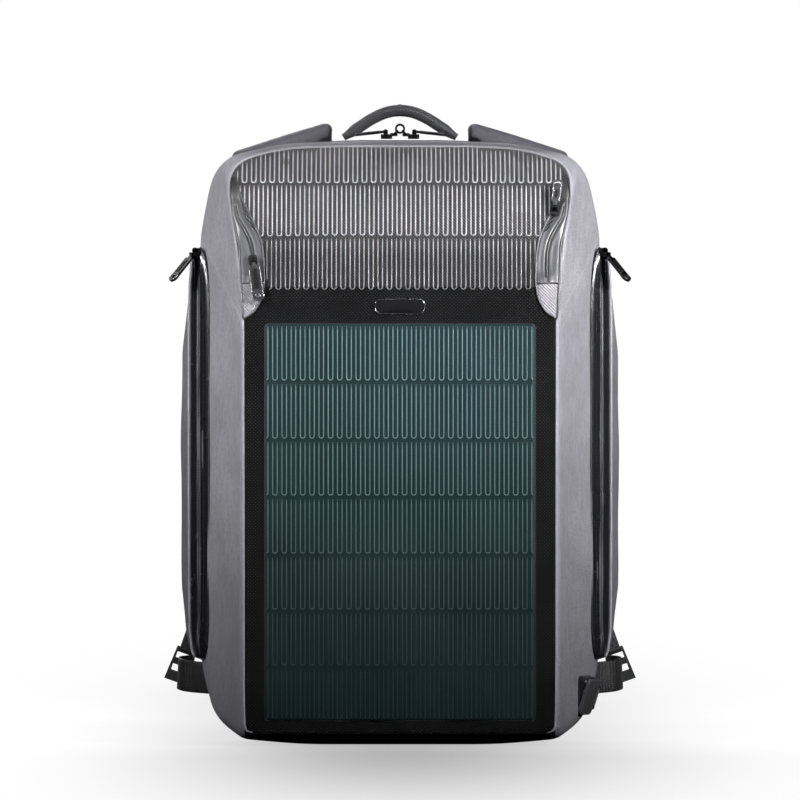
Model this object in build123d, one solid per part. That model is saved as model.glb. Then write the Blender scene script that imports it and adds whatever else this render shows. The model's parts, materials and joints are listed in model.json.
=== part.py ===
from build123d import *
import math
import os

os.makedirs("parts", exist_ok=True)

# Solar backpack. Millimetres. +Z up, the front (solar) face looks along -Y, +X is the viewer's right.
# The origin is the centre of the flat base on the ground.
# The bag is a foam-lined fabric box. Its form is the common part of three prisms: the front
# silhouette (XZ), the side profile (YZ) and the plan (XY). Offsetting the three outlines gives the
# wall's inner face and the layers sewn on the outside.

# ---- driving dimensions -------------------------------------------------------------------
BODY_H = 463.0          # top of the body above the ground
BODY_HALF_W = 153.0     # half width of the body without the pockets
FRONT_HALF_W = 118.5    # half width of the front face at its creases
FRONT_Y = -90.0         # front wall's outer face
BACK_Y = 80.0           # back wall's outer face
WALL = 3.0              # foam-laminated wall
FABRIC = 1.5            # front facing fabric
SEAM_X = 115.0          # front and back walls are joined to the side walls here
ZIP_Y = 25.0            # main zip's centre line
GAP = 0.2               # half the gap between two bodies at a split
HINGE_Y = -92.0         # crease that the top flap folds on
HINGE_Z = 325.0
ZIP_END_Z = 418.0       # main zip's lower ends
PANEL_W = 206.0         # solar panel
PANEL_H = 302.0
PANEL_Z0 = 19.0
CELL_ROWS = 7
CELL_COLS = 5
BADGE = (38.0, 12.0, 2.2)
STRAP_PIVOT = (88.5, 434.0)      # y, z
STRAP_X = 90.0
RIDGE_TILT = 17.0                # degrees, each strap's top edge falls towards the outside
LOWER_END = (139.0, 124.0)       # x, z of the shoulder pad's lower end
LOWER_TILT = 19.5                # degrees, the webbing below it runs outwards
STRAP_T = 9.0
HANDLE_Y = 50.0
HANDLE_PIVOT_Z = 466.6
PIN_R = 0.75                     # zip pull pins
EYE_R = 0.82
PIN_N = 5.8                      # height of the pull's pin above the tape
USB_ORIGIN = (139.0, -42.0, 38.0)
USB_TILT = 18.0

# ---- outlines -----------------------------------------------------------------------------
FRONT_OUT = [
    (-70, 0, 260), (70, 0, 260), (118.5, 6, 18), (141, 21, 34), (151, 62, 90), (BODY_HALF_W, 180, 300),
    (BODY_HALF_W, 386, 90), (138.5, 446, 34), (85, 459.5, 110), (30, BODY_H, 250),
    (-30, BODY_H, 250), (-85, 459.5, 110), (-138.5, 446, 34), (-BODY_HALF_W, 386, 90),
    (-BODY_HALF_W, 180, 300), (-151, 62, 90), (-141, 21, 34), (-118.5, 6, 18),
]
SIDE_OUT = [
    (-72, 0, 14), (66, 0, 10), (BACK_Y, 20, 12), (BACK_Y, 446, 14), (58, BODY_H, 14),
    (30, BODY_H, 50), (-30, 457, 34), (-62, 430, 42), (FRONT_Y, 345, 60), (FRONT_Y, 10, 12),
]
PLAN_OUT = [
    (-FRONT_HALF_W, -92), (FRONT_HALF_W, -92), (BODY_HALF_W, -8), (BODY_HALF_W, 48),
    (128, 84), (-128, 84), (-BODY_HALF_W, 48), (-BODY_HALF_W, -8),
]
PLAN_R = [2.0, 2.0, 75.0, 38.0, 18.0, 18.0, 38.0, 75.0]


def outline(points, radii, amount=0.0):
    """A closed planar face with rounded corners, its edges moved outwards by amount (arcs stay concentric)."""
    n = len(points)
    area = sum(points[i][0] * points[(i + 1) % n][1] - points[(i + 1) % n][0] * points[i][1] for i in range(n))
    ccw = 1 if area > 0 else -1
    pts, rad = [], []
    for i in range(n):
        a, b, c = points[i - 1], points[i], points[(i + 1) % n]
        d1, d2 = (b[0] - a[0], b[1] - a[1]), (c[0] - b[0], c[1] - b[1])
        l1, l2 = math.hypot(*d1), math.hypot(*d2)
        n1 = (d1[1] / l1 * ccw, -d1[0] / l1 * ccw)
        n2 = (d2[1] / l2 * ccw, -d2[0] / l2 * ccw)
        m = (n1[0] + n2[0], n1[1] + n2[1])
        k = 2 * amount / (m[0] ** 2 + m[1] ** 2)
        pts.append((b[0] + m[0] * k, b[1] + m[1] * k))
        turn = (d1[0] * d2[1] - d1[1] * d2[0]) * ccw
        rad.append(max(radii[i] + (amount if turn > 0 else -amount), 0.3))
    return make_face(FilletPolyline(*pts, radius=rad, close=True))


def grown_front(amount):
    return outline([(p[0], p[1]) for p in FRONT_OUT], [p[2] for p in FRONT_OUT], amount)


def grown_side(amount):
    return outline([(p[0], p[1]) for p in SIDE_OUT], [p[2] for p in SIDE_OUT], amount)


def prism_front(amount):
    f = grown_front(amount)
    return extrude(Plane.XZ * f, amount=160, both=True)


def prism_side(amount):
    f = grown_side(amount)
    return extrude(Plane.YZ * f, amount=220, both=True)


def prism_plan(amount):
    f = outline(PLAN_OUT, PLAN_R, amount)
    return extrude(Plane.XY.offset(-30) * f, amount=560)


def body(amount):
    """The bag's form, grown by amount on every side."""
    return prism_front(amount) & prism_side(amount) & prism_plan(amount)


def block(x0, x1, y0, y1, z0, z1):
    return Pos((x0 + x1) / 2, (y0 + y1) / 2, (z0 + z1) / 2) * Box(x1 - x0, y1 - y0, z1 - z0)


def yz_prism(points, x0=-220, x1=220):
    f = make_face(Polyline(*points, close=True))
    return extrude(Plane.YZ.offset(x0) * f, amount=x1 - x0)


def xz_prism(points, y0, y1, radii=None):
    f = outline(points, radii) if radii else make_face(Polyline(*points, close=True))
    # Plane.XZ looks along -Y, so the prism is drawn at y1 and pulled towards y0
    return extrude(Plane.XZ.offset(-y1) * f, amount=y1 - y0)


def mirrored(shape):
    return mirror(shape, about=Plane.YZ)


NODES = {}


def keep(name, shape):
    solids = [s for s in shape.solids() if s.volume > 0.5]
    NODES[name] = solids[0] if len(solids) == 1 else Compound(children=solids)


# ---- the shell, split into the panels that are sewn together --------------------------------
outer = body(0)
inner = body(-WALL)
shell = outer - inner

slope = (ZIP_END_Z - HINGE_Z) / (ZIP_Y - HINGE_Y)
nrm = math.hypot(1, slope)
flap_region = yz_prism([
    (-150, HINGE_Z + GAP), (HINGE_Y, HINGE_Z + GAP), (ZIP_Y - GAP, ZIP_END_Z + GAP * nrm),
    (ZIP_Y - GAP, 560), (-150, 560),
])
lower_region = yz_prism([
    (-150, -30), (-150, HINGE_Z - GAP), (HINGE_Y, HINGE_Z - GAP), (ZIP_Y, ZIP_END_Z - GAP * nrm),
    (ZIP_Y, -30),
])
rear_region = yz_prism([
    (ZIP_Y, -30), (ZIP_Y, ZIP_END_Z - GAP * nrm), (ZIP_Y + GAP, ZIP_END_Z - GAP * nrm), (ZIP_Y + GAP, 560), (150, 560), (150, -30),
])
BASE_TOP = 9.0
mid = block(-SEAM_X, SEAM_X, -150, 150, BASE_TOP, 560)
left = block(-220, -SEAM_X, -150, 150, BASE_TOP, 560)
right = block(SEAM_X, 220, -150, 150, BASE_TOP, 560)

base_panel = shell & block(-220, 220, -150, 150, -30, BASE_TOP)
front_panel = shell & lower_region & mid & block(-220, 220, -150, -30, -30, 560)
side_left = (shell & left) - flap_region
side_left = side_left - yz_prism([(-150, HINGE_Z - GAP), (HINGE_Y, HINGE_Z - GAP), (ZIP_Y + GAP, ZIP_END_Z - GAP * nrm), (ZIP_Y + GAP, 560), (-150, 560)])
back_panel = shell & rear_region & mid
flap_front = shell & flap_region & mid
flap_side_left = shell & flap_region & left

keep("base_panel", base_panel)
keep("front_panel", front_panel)
keep("side_panel_left", side_left)
keep("back_panel", back_panel)
keep("flap_front_panel", flap_front)
keep("flap_side_left", flap_side_left)
keep("flap_side_right", mirrored(flap_side_left))

# ---- facing fabric on the front: lower part on the bag, upper part on the flap -----------------
layer = (prism_side(FABRIC) - prism_side(0)) & prism_front(-0.5) & prism_plan(0)
layer_front = layer & block(-FRONT_HALF_W - 40, FRONT_HALF_W + 40, -150, -31.0, 9, 560)
keep("front_fabric_lower", layer_front & lower_region & block(-FRONT_HALF_W, FRONT_HALF_W, -150, -60, -30, 560))
keep("front_fabric_upper", layer_front & flap_region)

# ---- solar panel: backing, cells and textured cover film ---------------------------------------
py = FRONT_Y - FABRIC


def slab(w, z0, z1, y_out, t, r):
    f = Pos(0, (z0 + z1) / 2) * RectangleRounded(w, z1 - z0, r)
    return extrude(Plane.XZ.offset(-(y_out + t)) * f, amount=t)


keep("solar_backing", slab(PANEL_W, PANEL_Z0, PANEL_Z0 + PANEL_H, py - 0.8, 0.8, 3))
cells = []
pitch_z = (PANEL_H - 6) / CELL_ROWS
pitch_x = (PANEL_W - 6) / CELL_COLS
for r in range(CELL_ROWS):
    for c in range(CELL_COLS):
        cx = -PANEL_W / 2 + 3 + pitch_x * (c + 0.5)
        cz = PANEL_Z0 + 3 + pitch_z * (r + 0.5)
        cells.append(block(cx - pitch_x / 2 + 0.6, cx + pitch_x / 2 - 0.6, py - 1.2, py - 0.8, cz - pitch_z / 2 + 0.6, cz + pitch_z / 2 - 0.6))
keep("solar_cells", Compound(children=[s for c in cells for s in c.solids()]))
keep("solar_cover_film", slab(PANEL_W, PANEL_Z0, PANEL_Z0 + PANEL_H, py - 1.9, 0.7, 3))

# ---- badge --------------------------------------------------------------------------------------
bz = 334.0
badge = extrude(Plane.XZ.offset(-py) * (Pos(0, bz) * RectangleRounded(BADGE[0], BADGE[1], 4.5)), amount=BADGE[2])
keep("badge_plate", badge - prism_side(FABRIC))

# ---- piping and zip tapes sewn on the outside ------------------------------------------------------
skin = body(1.2) - outer
fat_skin = body(2.0) - outer
above_end = block(-220, 220, -150, 150, ZIP_END_Z + 2, 560)
keep("main_zip_tape_front", skin & block(-220, 220, 16.5, ZIP_Y - GAP, 0, 560) & above_end & flap_region)
keep("main_zip_tape_rear", skin & block(-220, 220, ZIP_Y + GAP, 33.5, 0, 560) & above_end)
keep("top_piping", fat_skin & block(-220, 220, -30.7, -27.7, 378, 560) & flap_region)
keep("rear_piping", fat_skin & block(-220, 220, 58, 61, 6, 560))

# ---- corner zip pockets on the flap -----------------------------------------------------------------
leaf_layer = prism_side(FABRIC + 1.2) - prism_side(FABRIC)
leaf_outline = [(-104.6, 357.3), (-105.3, 372), (-107.8, 386), (-114.0, 400), (-121.5, 413), (-127.5, 433), (-130.2, 428), (-128.4, 404), (-121.0, 384), (-119.2, 357.3)]
patch_outline = [(-104.6, 357), (-106.0, 340), (-111.0, 331.5), (-118.2, 329.0), (-119.2, 357)]
leaf_left = leaf_layer & xz_prism(leaf_outline, -150, -31)
patch_left = leaf_layer & xz_prism(patch_outline, -150, -60)
keep("corner_zip_tape_left", leaf_left)
keep("corner_zip_tape_right", mirrored(leaf_left))
keep("corner_zip_patches", Compound(children=[*patch_left.solids(), *mirrored(patch_left).solids()]))

# ---- side pockets ------------------------------------------------------------------------------------
POCKET_XZ = [(-120, 62), (-150, 62), (-162, 77), (-166.5, 120), (-167.6, 225), (-166, 300), (-161.5, 343), (-153.0, 381), (-120, 383)]
POCKET_XZ_R = [1, 12, 20, 60, 200, 80, 60, 4, 1]
POCKET_YZ = [(-20, 62), (-38, 96), (-40, 200), (-38, 300), (-31, 354), (-14, 382), (10, 382), (15.5, 340), (15.5, 90), (4, 62)]
POCKET_YZ_R = [14, 40, 200, 60, 24, 6, 6, 30, 20, 10]
POCKET_XY = [(-120, -45), (-143.5, -33), (-163, -8), (-168, 2), (-168, 12), (-160, 16), (-120, 16)]
POCKET_XY_R = [1, 1.5, 3, 10, 6, 8, 1]


def pocket(amount):
    a = extrude(Plane.XZ * outline(POCKET_XZ, POCKET_XZ_R, amount), amount=100, both=True)
    b = extrude(Plane.YZ * outline(POCKET_YZ, POCKET_YZ_R, amount), amount=220, both=True)
    c = extrude(Plane.XY * outline(POCKET_XY, POCKET_XY_R, amount), amount=420)
    return a & b & c & block(-220, -100, -100, 100, 0, 420)


pocket_left = (pocket(0) - pocket(-2.0)) - outer
pl = [s for s in pocket_left.solids() if s.volume > 500]
pocket_left = Compound(children=pl) if len(pl) > 1 else pl[0]
keep("side_pocket_left", pocket_left)
keep("side_pocket_right", mirrored(pocket_left))

# the side zip's tape lies on the pocket's front-facing slope
SLOPE_A = (-143.5, -33.0)
SLOPE_B = (-163.0, -8.0)
sl = math.hypot(SLOPE_B[0] - SLOPE_A[0], SLOPE_B[1] - SLOPE_A[1])
sv = ((SLOPE_B[0] - SLOPE_A[0]) / sl, (SLOPE_B[1] - SLOPE_A[1]) / sl)      # along the slope
sn = (-sv[1], sv[0])                                                      # outward normal
if sn[1] > 0:
    sn = (-sn[0], -sn[1])
smid = ((SLOPE_A[0] + SLOPE_B[0]) / 2, (SLOPE_A[1] + SLOPE_B[1]) / 2)
side_plane = Plane(origin=(smid[0], smid[1], 0), x_dir=(sv[0], sv[1], 0), z_dir=(sn[0], sn[1], 0))
TAPE_W = 24.0
# side_plane's y axis is +Z or -Z
sgn = 1 if side_plane.y_dir.Z > 0 else -1
strip_pts = [(-6, 70), (6, 70), (TAPE_W / 2, 88), (TAPE_W / 2, 330), (10.5, 368), (6, 380), (-1, 379), (-6.5, 371), (-10, 352), (-TAPE_W / 2, 320), (-TAPE_W / 2, 88)]
strip_face = make_face(Polyline(*[(a, sgn * b) for a, b in strip_pts], close=True))
strip_left = extrude(side_plane * strip_face, amount=1.2)
strip_left = (strip_left - pocket(0)) - outer
keep("side_zip_tape_left", strip_left)
keep("side_zip_tape_right", mirrored(strip_left))

# ---- zip sliders and pulls ----------------------------------------------------------------------------
def slider_solid(lock=None):
    """Local frame: x along the track, y across it, z away from the tape. The pull's pin lies on y at height PIN_N."""
    b = Pos(0.6, 0, 1.95) * Box(8.8, 7.0, 3.3)
    b = fillet(b.edges().filter_by(Axis.Z), 2.2)
    lugs = Pos(0, 2.2, 5.05) * Box(3.4, 1.2, 3.5) + Pos(0, -2.2, 5.05) * Box(3.4, 1.2, 3.5)
    pin = Pos(0, 0, PIN_N) * Rot(90, 0, 0) * Cylinder(PIN_R, 4.4)
    s = b + lugs + pin
    if lock:
        # lock loop at the slider's nose, offset to one side so that two sliders can meet
        ring = Pos(11.0, lock * 0.85, 8.0) * Rot(90, 0, 0) * (Cylinder(3.9, 1.3) - Cylinder(2.4, 1.3))
        arm = Pos(6.3, lock * 0.85, 3.4) * Box(5.6, 1.3, 2.4) + Pos(7.6, lock * 0.85, 5.0) * Rot(0, 45, 0) * Box(1.5, 1.3, 5.0)
        s = s + ring + arm
    return s


def pull_solid(length=36.0, width=8.8):
    """Pull tab along +x from the pin's centre, y across, z its thickness, with a recess for its rubber inlay on both faces."""
    t = 1.8
    eye = Rot(90, 0, 0) * Cylinder(1.75, 2.8)
    neck = Pos(2.9, 0, 0) * Box(3.6, 2.8, t)
    w2 = width / 2
    cx = length - w2
    plate = Pos((4.2 + cx) / 2, 0, 0) * Box(cx - 4.2, width - 1.2, t) + Pos(cx, 0, 0) * Cylinder(w2, t)
    tab = eye + neck + plate
    tab = tab - Rot(90, 0, 0) * Cylinder(EYE_R, 4)
    s0, s1 = 7.0, cx - 4.6
    slot_f = Pos((s0 + s1) / 2, 0, 0) * SlotOverall(s1 - s0, width - 4.6)
    for z in (t / 2 - 0.3, -t / 2 - 0.3):
        tab = tab - Pos(0, 0, z) * extrude(slot_f, amount=0.6)
    hole = Pos(cx + 0.4, 0, 0) * Cylinder(1.9, 4)
    return tab - hole


def place(shape, origin, x_dir, z_dir):
    return Plane(origin=origin, x_dir=x_dir, z_dir=z_dir) * shape


def unit(v):
    n = math.sqrt(sum(c * c for c in v))
    return tuple(c / n for c in v)


def add(a, b, k=1.0):
    return tuple(p + q * k for p, q in zip(a, b))


def zip_set(name, origin, track, normal, toward, angle, length, width, lock=None, mirror_too=None):
    """Slider on the tape at origin; the pull lies angle degrees above the tape, towards 'toward' (+1 or -1 along the track)."""
    track, normal = unit(track), unit(normal)
    s = place(slider_solid(lock), origin, tuple(c * -toward for c in track), normal)
    pin = add(origin, normal, PIN_N)
    a = math.radians(angle)
    d = add(tuple(c * toward * math.cos(a) for c in track), normal, math.sin(a))
    zz = add(tuple(c * -toward * math.sin(a) for c in track), normal, math.cos(a))
    tab = place(pull_solid(length, width), pin, d, zz)
    keep(f"{name}_slider_left", s)
    keep(f"{name}_pull_left", tab)
    if mirror_too:
        keep(f"{name}_slider_right", mirrored(s))
        keep(f"{name}_pull_right", mirrored(tab))
    return pin, d


# side zips: vertical tracks, pulls standing out from the tape
SIDE_SLIDER_Z = 374.5
so = (smid[0] + sn[0] * 1.3, smid[1] + sn[1] * 1.3, SIDE_SLIDER_Z)
side_pin, side_dir = zip_set("side", so, (0, 0, 1), (sn[0], sn[1], 0), -1, 45.0, 29.0, 8.8, mirror_too=True)

# corner zips: straight tracks on the slope between the front's two bends
prof_a, prof_b = (-90.0, 345.0), (-62.0, 430.0)
pl_ = math.hypot(prof_b[0] - prof_a[0], prof_b[1] - prof_a[1])
pd = ((prof_b[0] - prof_a[0]) / pl_, (prof_b[1] - prof_a[1]) / pl_)
pn = (-pd[1], pd[0])


def on_slope(x, z, out):
    """A point on the front slope at height z, out mm above the wall."""
    k = (z - prof_a[1]) / (prof_b[1] - prof_a[1])
    y = prof_a[0] + k * (prof_b[0] - prof_a[0])
    return (x, y + pn[0] * out, z + pn[1] * out)


c0, c1 = on_slope(-111.6, 366.5, FABRIC + 1.3), on_slope(-117.4, 406.0, FABRIC + 1.3)
corner_track = unit(add(c1, c0, -1))
corner_n = (0.0, pn[0], pn[1])
corner_pin, corner_dir = zip_set("corner", c0, corner_track, corner_n, -1, -6.0, 32.0, 9.6)
# the right slider is parked at the track's upper end with its pull tucked upwards
r0 = on_slope(117.6, 407.0, FABRIC + 1.3)
rt = unit((corner_track[0] * -1, corner_track[1], corner_track[2]))
rs = place(slider_solid(), r0, tuple(-c for c in rt), corner_n)
rpin = add(r0, corner_n, PIN_N)
ra = math.radians(6.0)
rd = add(tuple(c * math.cos(ra) for c in rt), corner_n, math.sin(ra))
rz = add(tuple(-c * math.sin(ra) for c in rt), corner_n, math.cos(ra))
keep("corner_slider_right", rs)
keep("corner_pull_right", place(pull_solid(22.0, 7.0), rpin, rd, rz))

# main zip: two sliders nose to nose at the top centre
top_n = unit((0.0, -(BODY_H - 457.0), 60.0))
top_v = (0.0, top_n[2], -top_n[1])
mo = (-11.0, 25.0, 457.0 + (25.0 + 30.0) * 6.0 / 60.0)
mo = add(mo, top_n, 1.3)
main_pin, main_dir = zip_set("main", mo, (1, 0, 0), top_n, -1, -6.0, 24.0, 7.4, lock=1, mirror_too=False)
# the right slider is the left one's mirror with its lock loop on the other side
s = place(slider_solid(1), (11.0, mo[1], mo[2]), (-1, 0, 0), top_n)
keep("main_slider_right", s)
keep("main_pull_right", mirrored(NODES["main_pull_left"]))

# ---- grab handle --------------------------------------------------------------------------------------
hc = [(-45.0, 463.0), (-21.0, 480.0), (0.0, 488.6), (21.0, 480.0), (45.0, 463.0)]


def ribbon(points, thickness, radii):
    """Outline of a strip of constant thickness along a planar polyline with rounded corners."""
    def side(sign):
        out = []
        for i, p in enumerate(points):
            a = points[max(i - 1, 0)]
            b = points[i]
            c = points[min(i + 1, len(points) - 1)]
            d1 = (b[0] - a[0], b[1] - a[1]) if i else (c[0] - b[0], c[1] - b[1])
            d2 = (c[0] - b[0], c[1] - b[1]) if i < len(points) - 1 else d1
            l1, l2 = math.hypot(*d1), math.hypot(*d2)
            n1 = (-d1[1] / l1, d1[0] / l1)
            n2 = (-d2[1] / l2, d2[0] / l2)
            m = (n1[0] + n2[0], n1[1] + n2[1])
            k = 2 / (m[0] ** 2 + m[1] ** 2)
            out.append((b[0] + m[0] * k * sign * thickness / 2, b[1] + m[1] * k * sign * thickness / 2))
        return out
    up, down = side(1), side(-1)
    # radii on each side are made concentric from the turn's direction
    ru, rd_ = [], []
    for i in range(1, len(points) - 1):
        a, b, c = points[i - 1], points[i], points[i + 1]
        cross = (b[0] - a[0]) * (c[1] - b[1]) - (b[1] - a[1]) * (c[0] - b[0])
        s_ = 1 if cross < 0 else -1
        ru.append(radii[i - 1] + s_ * thickness / 2)
        rd_.append(radii[i - 1] - s_ * thickness / 2)
    top = FilletPolyline(*up, radius=ru) if ru else Polyline(*up)
    low = FilletPolyline(*down, radius=rd_) if rd_ else Polyline(*down)
    return make_face(Curve() + [top, low, Line(up[0], down[0]), Line(up[-1], down[-1])])


arch_face = ribbon(hc, 9.6, [40, 30, 40])
arch = extrude(Plane.XZ.offset(-(HANDLE_Y + 11)) * arch_face, amount=22)
arch = arch & block(-80, 80, 0, 100, 471.4, 520)
tongue = block(30, 42, HANDLE_Y - 2.3, HANDLE_Y + 2.3, HANDLE_PIVOT_Z, 473.0) + Pos(36, HANDLE_Y, HANDLE_PIVOT_Z) * Rot(0, 90, 0) * Cylinder(2.3, 12)
handle = arch + tongue + mirrored(tongue)
keep("grab_handle", handle)
plate = block(26, 50, HANDLE_Y - 10, HANDLE_Y + 7, 463.0, 463.9)
keep("handle_anchor_patches", Compound(children=[*(plate - outer).solids(), *mirrored(plate - outer).solids()]))

# ---- back: mesh pads and strap yoke ---------------------------------------------------------------------
def pad(x0, x1, z0, z1, r):
    f = Pos((x0 + x1) / 2, (z0 + z1) / 2) * RectangleRounded(x1 - x0, z1 - z0, r)
    p = extrude(Plane.XZ.offset(-(BACK_Y + 8)) * f, amount=8)
    return fillet(p.faces().sort_by(Axis.Y)[-1].edges(), 3.0)


pads = [pad(-102, -14, 160, 378, 16), pad(14, 102, 160, 378, 16), pad(-102, 102, 44, 146, 16)]
keep("back_pads", Compound(children=[s for p in pads for s in p.solids()]))
yoke = extrude(Plane.XZ.offset(-(BACK_Y + 2.4)) * make_face(Polyline((-118, 426), (118, 426), (112, 404), (40, 388), (-40, 388), (-112, 404), close=True)), amount=2.4)
keep("strap_yoke", yoke)

# ---- shoulder straps -------------------------------------------------------------------------------------
SP = [(89.0, 418.0), (89.5, 462.2), (118.0, 462.2), (127.0, 395.0), (131.0, 300.0), (127.0, 210.0), (115.0, 110.0)]
strap_face = ribbon(SP, STRAP_T, [13, 13, 80, 300, 300])
strap_raw = extrude(Plane.YZ.offset(STRAP_X - 150) * strap_face, amount=300)
strap_raw = Pos(STRAP_X, 0, 440) * Rot(0, RIDGE_TILT, 0) * Pos(-STRAP_X, 0, -440) * strap_raw
strap_cut = xz_prism([(53, 520), (129, 520), (131, 440), (146, 330), (160, 210), (160, 124), (118, 124), (112, 210), (86, 330), (53, 430)], 60, 180, [1, 1, 60, 200, 60, 12, 12, 60, 200, 60])
strap_right = strap_raw & strap_cut
strap_right = strap_right & block(0, 220, 60, 180, 405, 560) + strap_right & block(0, 220, 96, 180, 0, 560)
keep("shoulder_pad_right", strap_right)
keep("shoulder_pad_left", mirrored(strap_right))


def lower_end(shape):
    """Places a right-hand part that hangs below the shoulder pad, drawn about (0, y, 0) at the pad's end."""
    return Pos(LOWER_END[0], 0, LOWER_END[1]) * Rot(0, -LOWER_TILT, 0) * shape


# short webbing from the pad's end to the ladder lock
TAB = [(118.0, 8.0), (108.5, -38.0), (106.0, -64.0)]
tab_web = lower_end(extrude(Plane.YZ.offset(-12.5) * ribbon(TAB, 1.8, [60]), amount=25))
tab_web = tab_web - strap_right
tab_web = sorted(tab_web.solids(), key=lambda s: -s.volume)[0]
keep("lock_webbing_right", tab_web)
keep("lock_webbing_left", mirrored(tab_web))
# ladder lock: a frame with two slots
lock_f = make_face(Polyline((-16, 0), (16, 0), (14.5, 27), (-14.5, 27), close=True)) - Pos(0, 20.5) * Rectangle(26, 5) - Pos(0, 10.5) * Rectangle(26.5, 5.2)
lock = Pos(0, 107.6, -87.0) * Rot(-6, 0, 0) * (Rot(90, 0, 0) * extrude(lock_f, amount=4.2))
lock = lower_end(lock) - tab_web
keep("ladder_lock_right", lock)
keep("ladder_lock_left", mirrored(lock))

# lower webbing: from the bottom corner out in a loop and back towards the ladder lock
LW = [(137.5, 60.0), (158.0, 63.0), (171.6, 74.0), (170.0, 90.0), (160.0, 96.0)]
lw_face = ribbon(LW, 1.8, [14, 10, 8])
lower_web = extrude(Plane.XY.offset(37) * lw_face, amount=25)
lower_web = Pos(150, 70, 50) * Rot(8, 0, 0) * Pos(-150, -70, -50) * lower_web
lower_web = lower_web - body(2.0)
lws = sorted(lower_web.solids(), key=lambda s: -s.volume)[0]
keep("lower_webbing_right", lws)
keep("lower_webbing_left", mirrored(lws))
# anchor tabs sewn into the bottom rear corners
anchor = block(118, 150, 62.5, 66.0, 36, 66) - body(0.0)
ans = [s for s in (anchor - lws - NODES["rear_piping"]).solids() if s.volume > 20]
ans = sorted(ans, key=lambda s: -s.volume)
keep("webbing_anchors", Compound(children=[ans[0], *mirrored(ans[0]).solids()]))

# ---- USB port on the lower right side -------------------------------------------------------------------
ur = math.radians(USB_TILT)
wl = math.hypot(84.0, 34.5)
usb_n = (84.0 / wl * math.cos(ur), -34.5 / wl * math.cos(ur), -math.sin(ur))
usb_plane = Plane(origin=USB_ORIGIN, x_dir=(34.5 / wl, 84.0 / wl, 0), z_dir=usb_n)
ty = 1 if usb_plane.y_dir.Z > 0 else -1
UH, UD = 29.0, 24.0
house = usb_plane * (Pos(0, 0, -8) * extrude(RectangleRounded(UD, UH, 4), amount=8 + 4.6))
house = fillet(house.faces().sort_by(lambda f: f.center().dot(Vector(*usb_n)))[-1].edges(), 1.2)
side_right = mirrored(side_left)
neck_in = usb_plane * (Pos(0, 0, -9) * extrude(RectangleRounded(18, 22, 3), amount=9.2))
outside = house - outer
thru = (house & neck_in) - outside
housing = outside + thru
cav = usb_plane * (Pos(0, 0, -7.5) * extrude(Rectangle(8.2, 14.8), amount=20))
housing = housing - cav
hs = sorted(housing.solids(), key=lambda s: -s.volume)[0]
keep("usb_housing", hs)
side_right = side_right - (usb_plane * (Pos(0, 0, -9) * extrude(RectangleRounded(18, 22, 3), amount=22))) - hs
keep("side_panel_right", side_right)
sock = usb_plane * (Pos(0, 0, -7.5) * extrude(Rectangle(8.2, 14.8) - Rectangle(7.4, 14.0), amount=11.6))
sock_back = usb_plane * (Pos(0, 0, -7.5) * extrude(Rectangle(7.4, 14.0), amount=1.0))
keep("usb_socket", sock + sock_back)
# cover hinged on a small knuckle at its rear edge
HX = UD / 2 + 1.6
HN = 6.2
cover_p = usb_plane * (Pos(0, 0, 4.9) * extrude(RectangleRounded(UD - 0.6, UH - 0.6, 4), amount=2.6))
cover_p = fillet(cover_p.faces().sort_by(lambda f: f.center().dot(Vector(*usb_n)))[-1].edges(), 1.0)
knuckle = usb_plane * (Pos(HX, 0, HN) * Rot(90, 0, 0) * (Cylinder(1.5, 14)) + Pos(HX - 1.6, 0, HN) * Box(3.2, 14, 1.6))
bore_k = usb_plane * (Pos(HX, 0, HN) * Rot(90, 0, 0) * Cylinder(0.8, 40))
keep("usb_cover", cover_p + knuckle - bore_k)
pin_c = usb_plane * (Pos(HX, 0, HN) * Rot(90, 0, 0) * Cylinder(0.75, 20))
ear = usb_plane * (Pos(HX, 8.6, HN) * Rot(90, 0, 0) * Cylinder(1.5, 2.4) + Pos(HX, 8.6, HN - 3) * Box(3.0, 2.4, 6) + Pos(HX - 2.5, 8.6, HN - 5) * Box(5, 2.4, 2))
ear2 = usb_plane * (Pos(HX, -8.6, HN) * Rot(90, 0, 0) * Cylinder(1.5, 2.4) + Pos(HX, -8.6, HN - 3) * Box(3.0, 2.4, 6) + Pos(HX - 2.5, -8.6, HN - 5) * Box(5, 2.4, 2))
hinge_part = (pin_c + ear + ear2) - hs
keep("usb_housing", hs + hinge_part)
keep("side_panel_right", side_right - NODES["usb_housing"])

# ---- inside: charge controller, cable, laptop sleeve, organiser ------------------------------------------
ctl = fillet(block(-32, 32, FRONT_Y + WALL, FRONT_Y + WALL + 12, 282, 312).edges().filter_by(Axis.Y), 3)
keep("charge_controller", ctl)
CABLE_D = 4.0
sock_in = add(USB_ORIGIN, usb_n, -9.0)
CR = [(20.0, -80.0, 282.0), (20.2, -80.0, 238.0), (19.4, -79.6, 190.0), (20.6, -79.8, 140.0), (28.0, -80.0, 98.0), (54.0, -80.4, 66.0), (88.0, -79.0, 54.0), (108.0, -58.0, 48.0), add(sock_in, usb_n, -22.0), sock_in]
CRAD = []
for i in range(1, len(CR) - 1):
    a, b, c = Vector(*CR[i - 1]), Vector(*CR[i]), Vector(*CR[i + 1])
    turn = math.radians((b - a).get_angle(c - b))
    short = min((b - a).length, (c - b).length)
    CRAD.append(0.45 * short / math.tan(turn / 2))
print("cable radii", [round(r, 1) for r in CRAD])
cpath = FilletPolyline(*CR, radius=CRAD)
csec = Plane(origin=CR[0], z_dir=(0, 0, -1)) * Circle(CABLE_D / 2)
cable = sweep(csec, path=cpath)
print("cable length", round(cpath.length, 1), "volume ratio", round(cable.volume / (cpath.length * math.pi * CABLE_D ** 2 / 4), 4))
keep("charge_cable", cable)
clips = []
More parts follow.
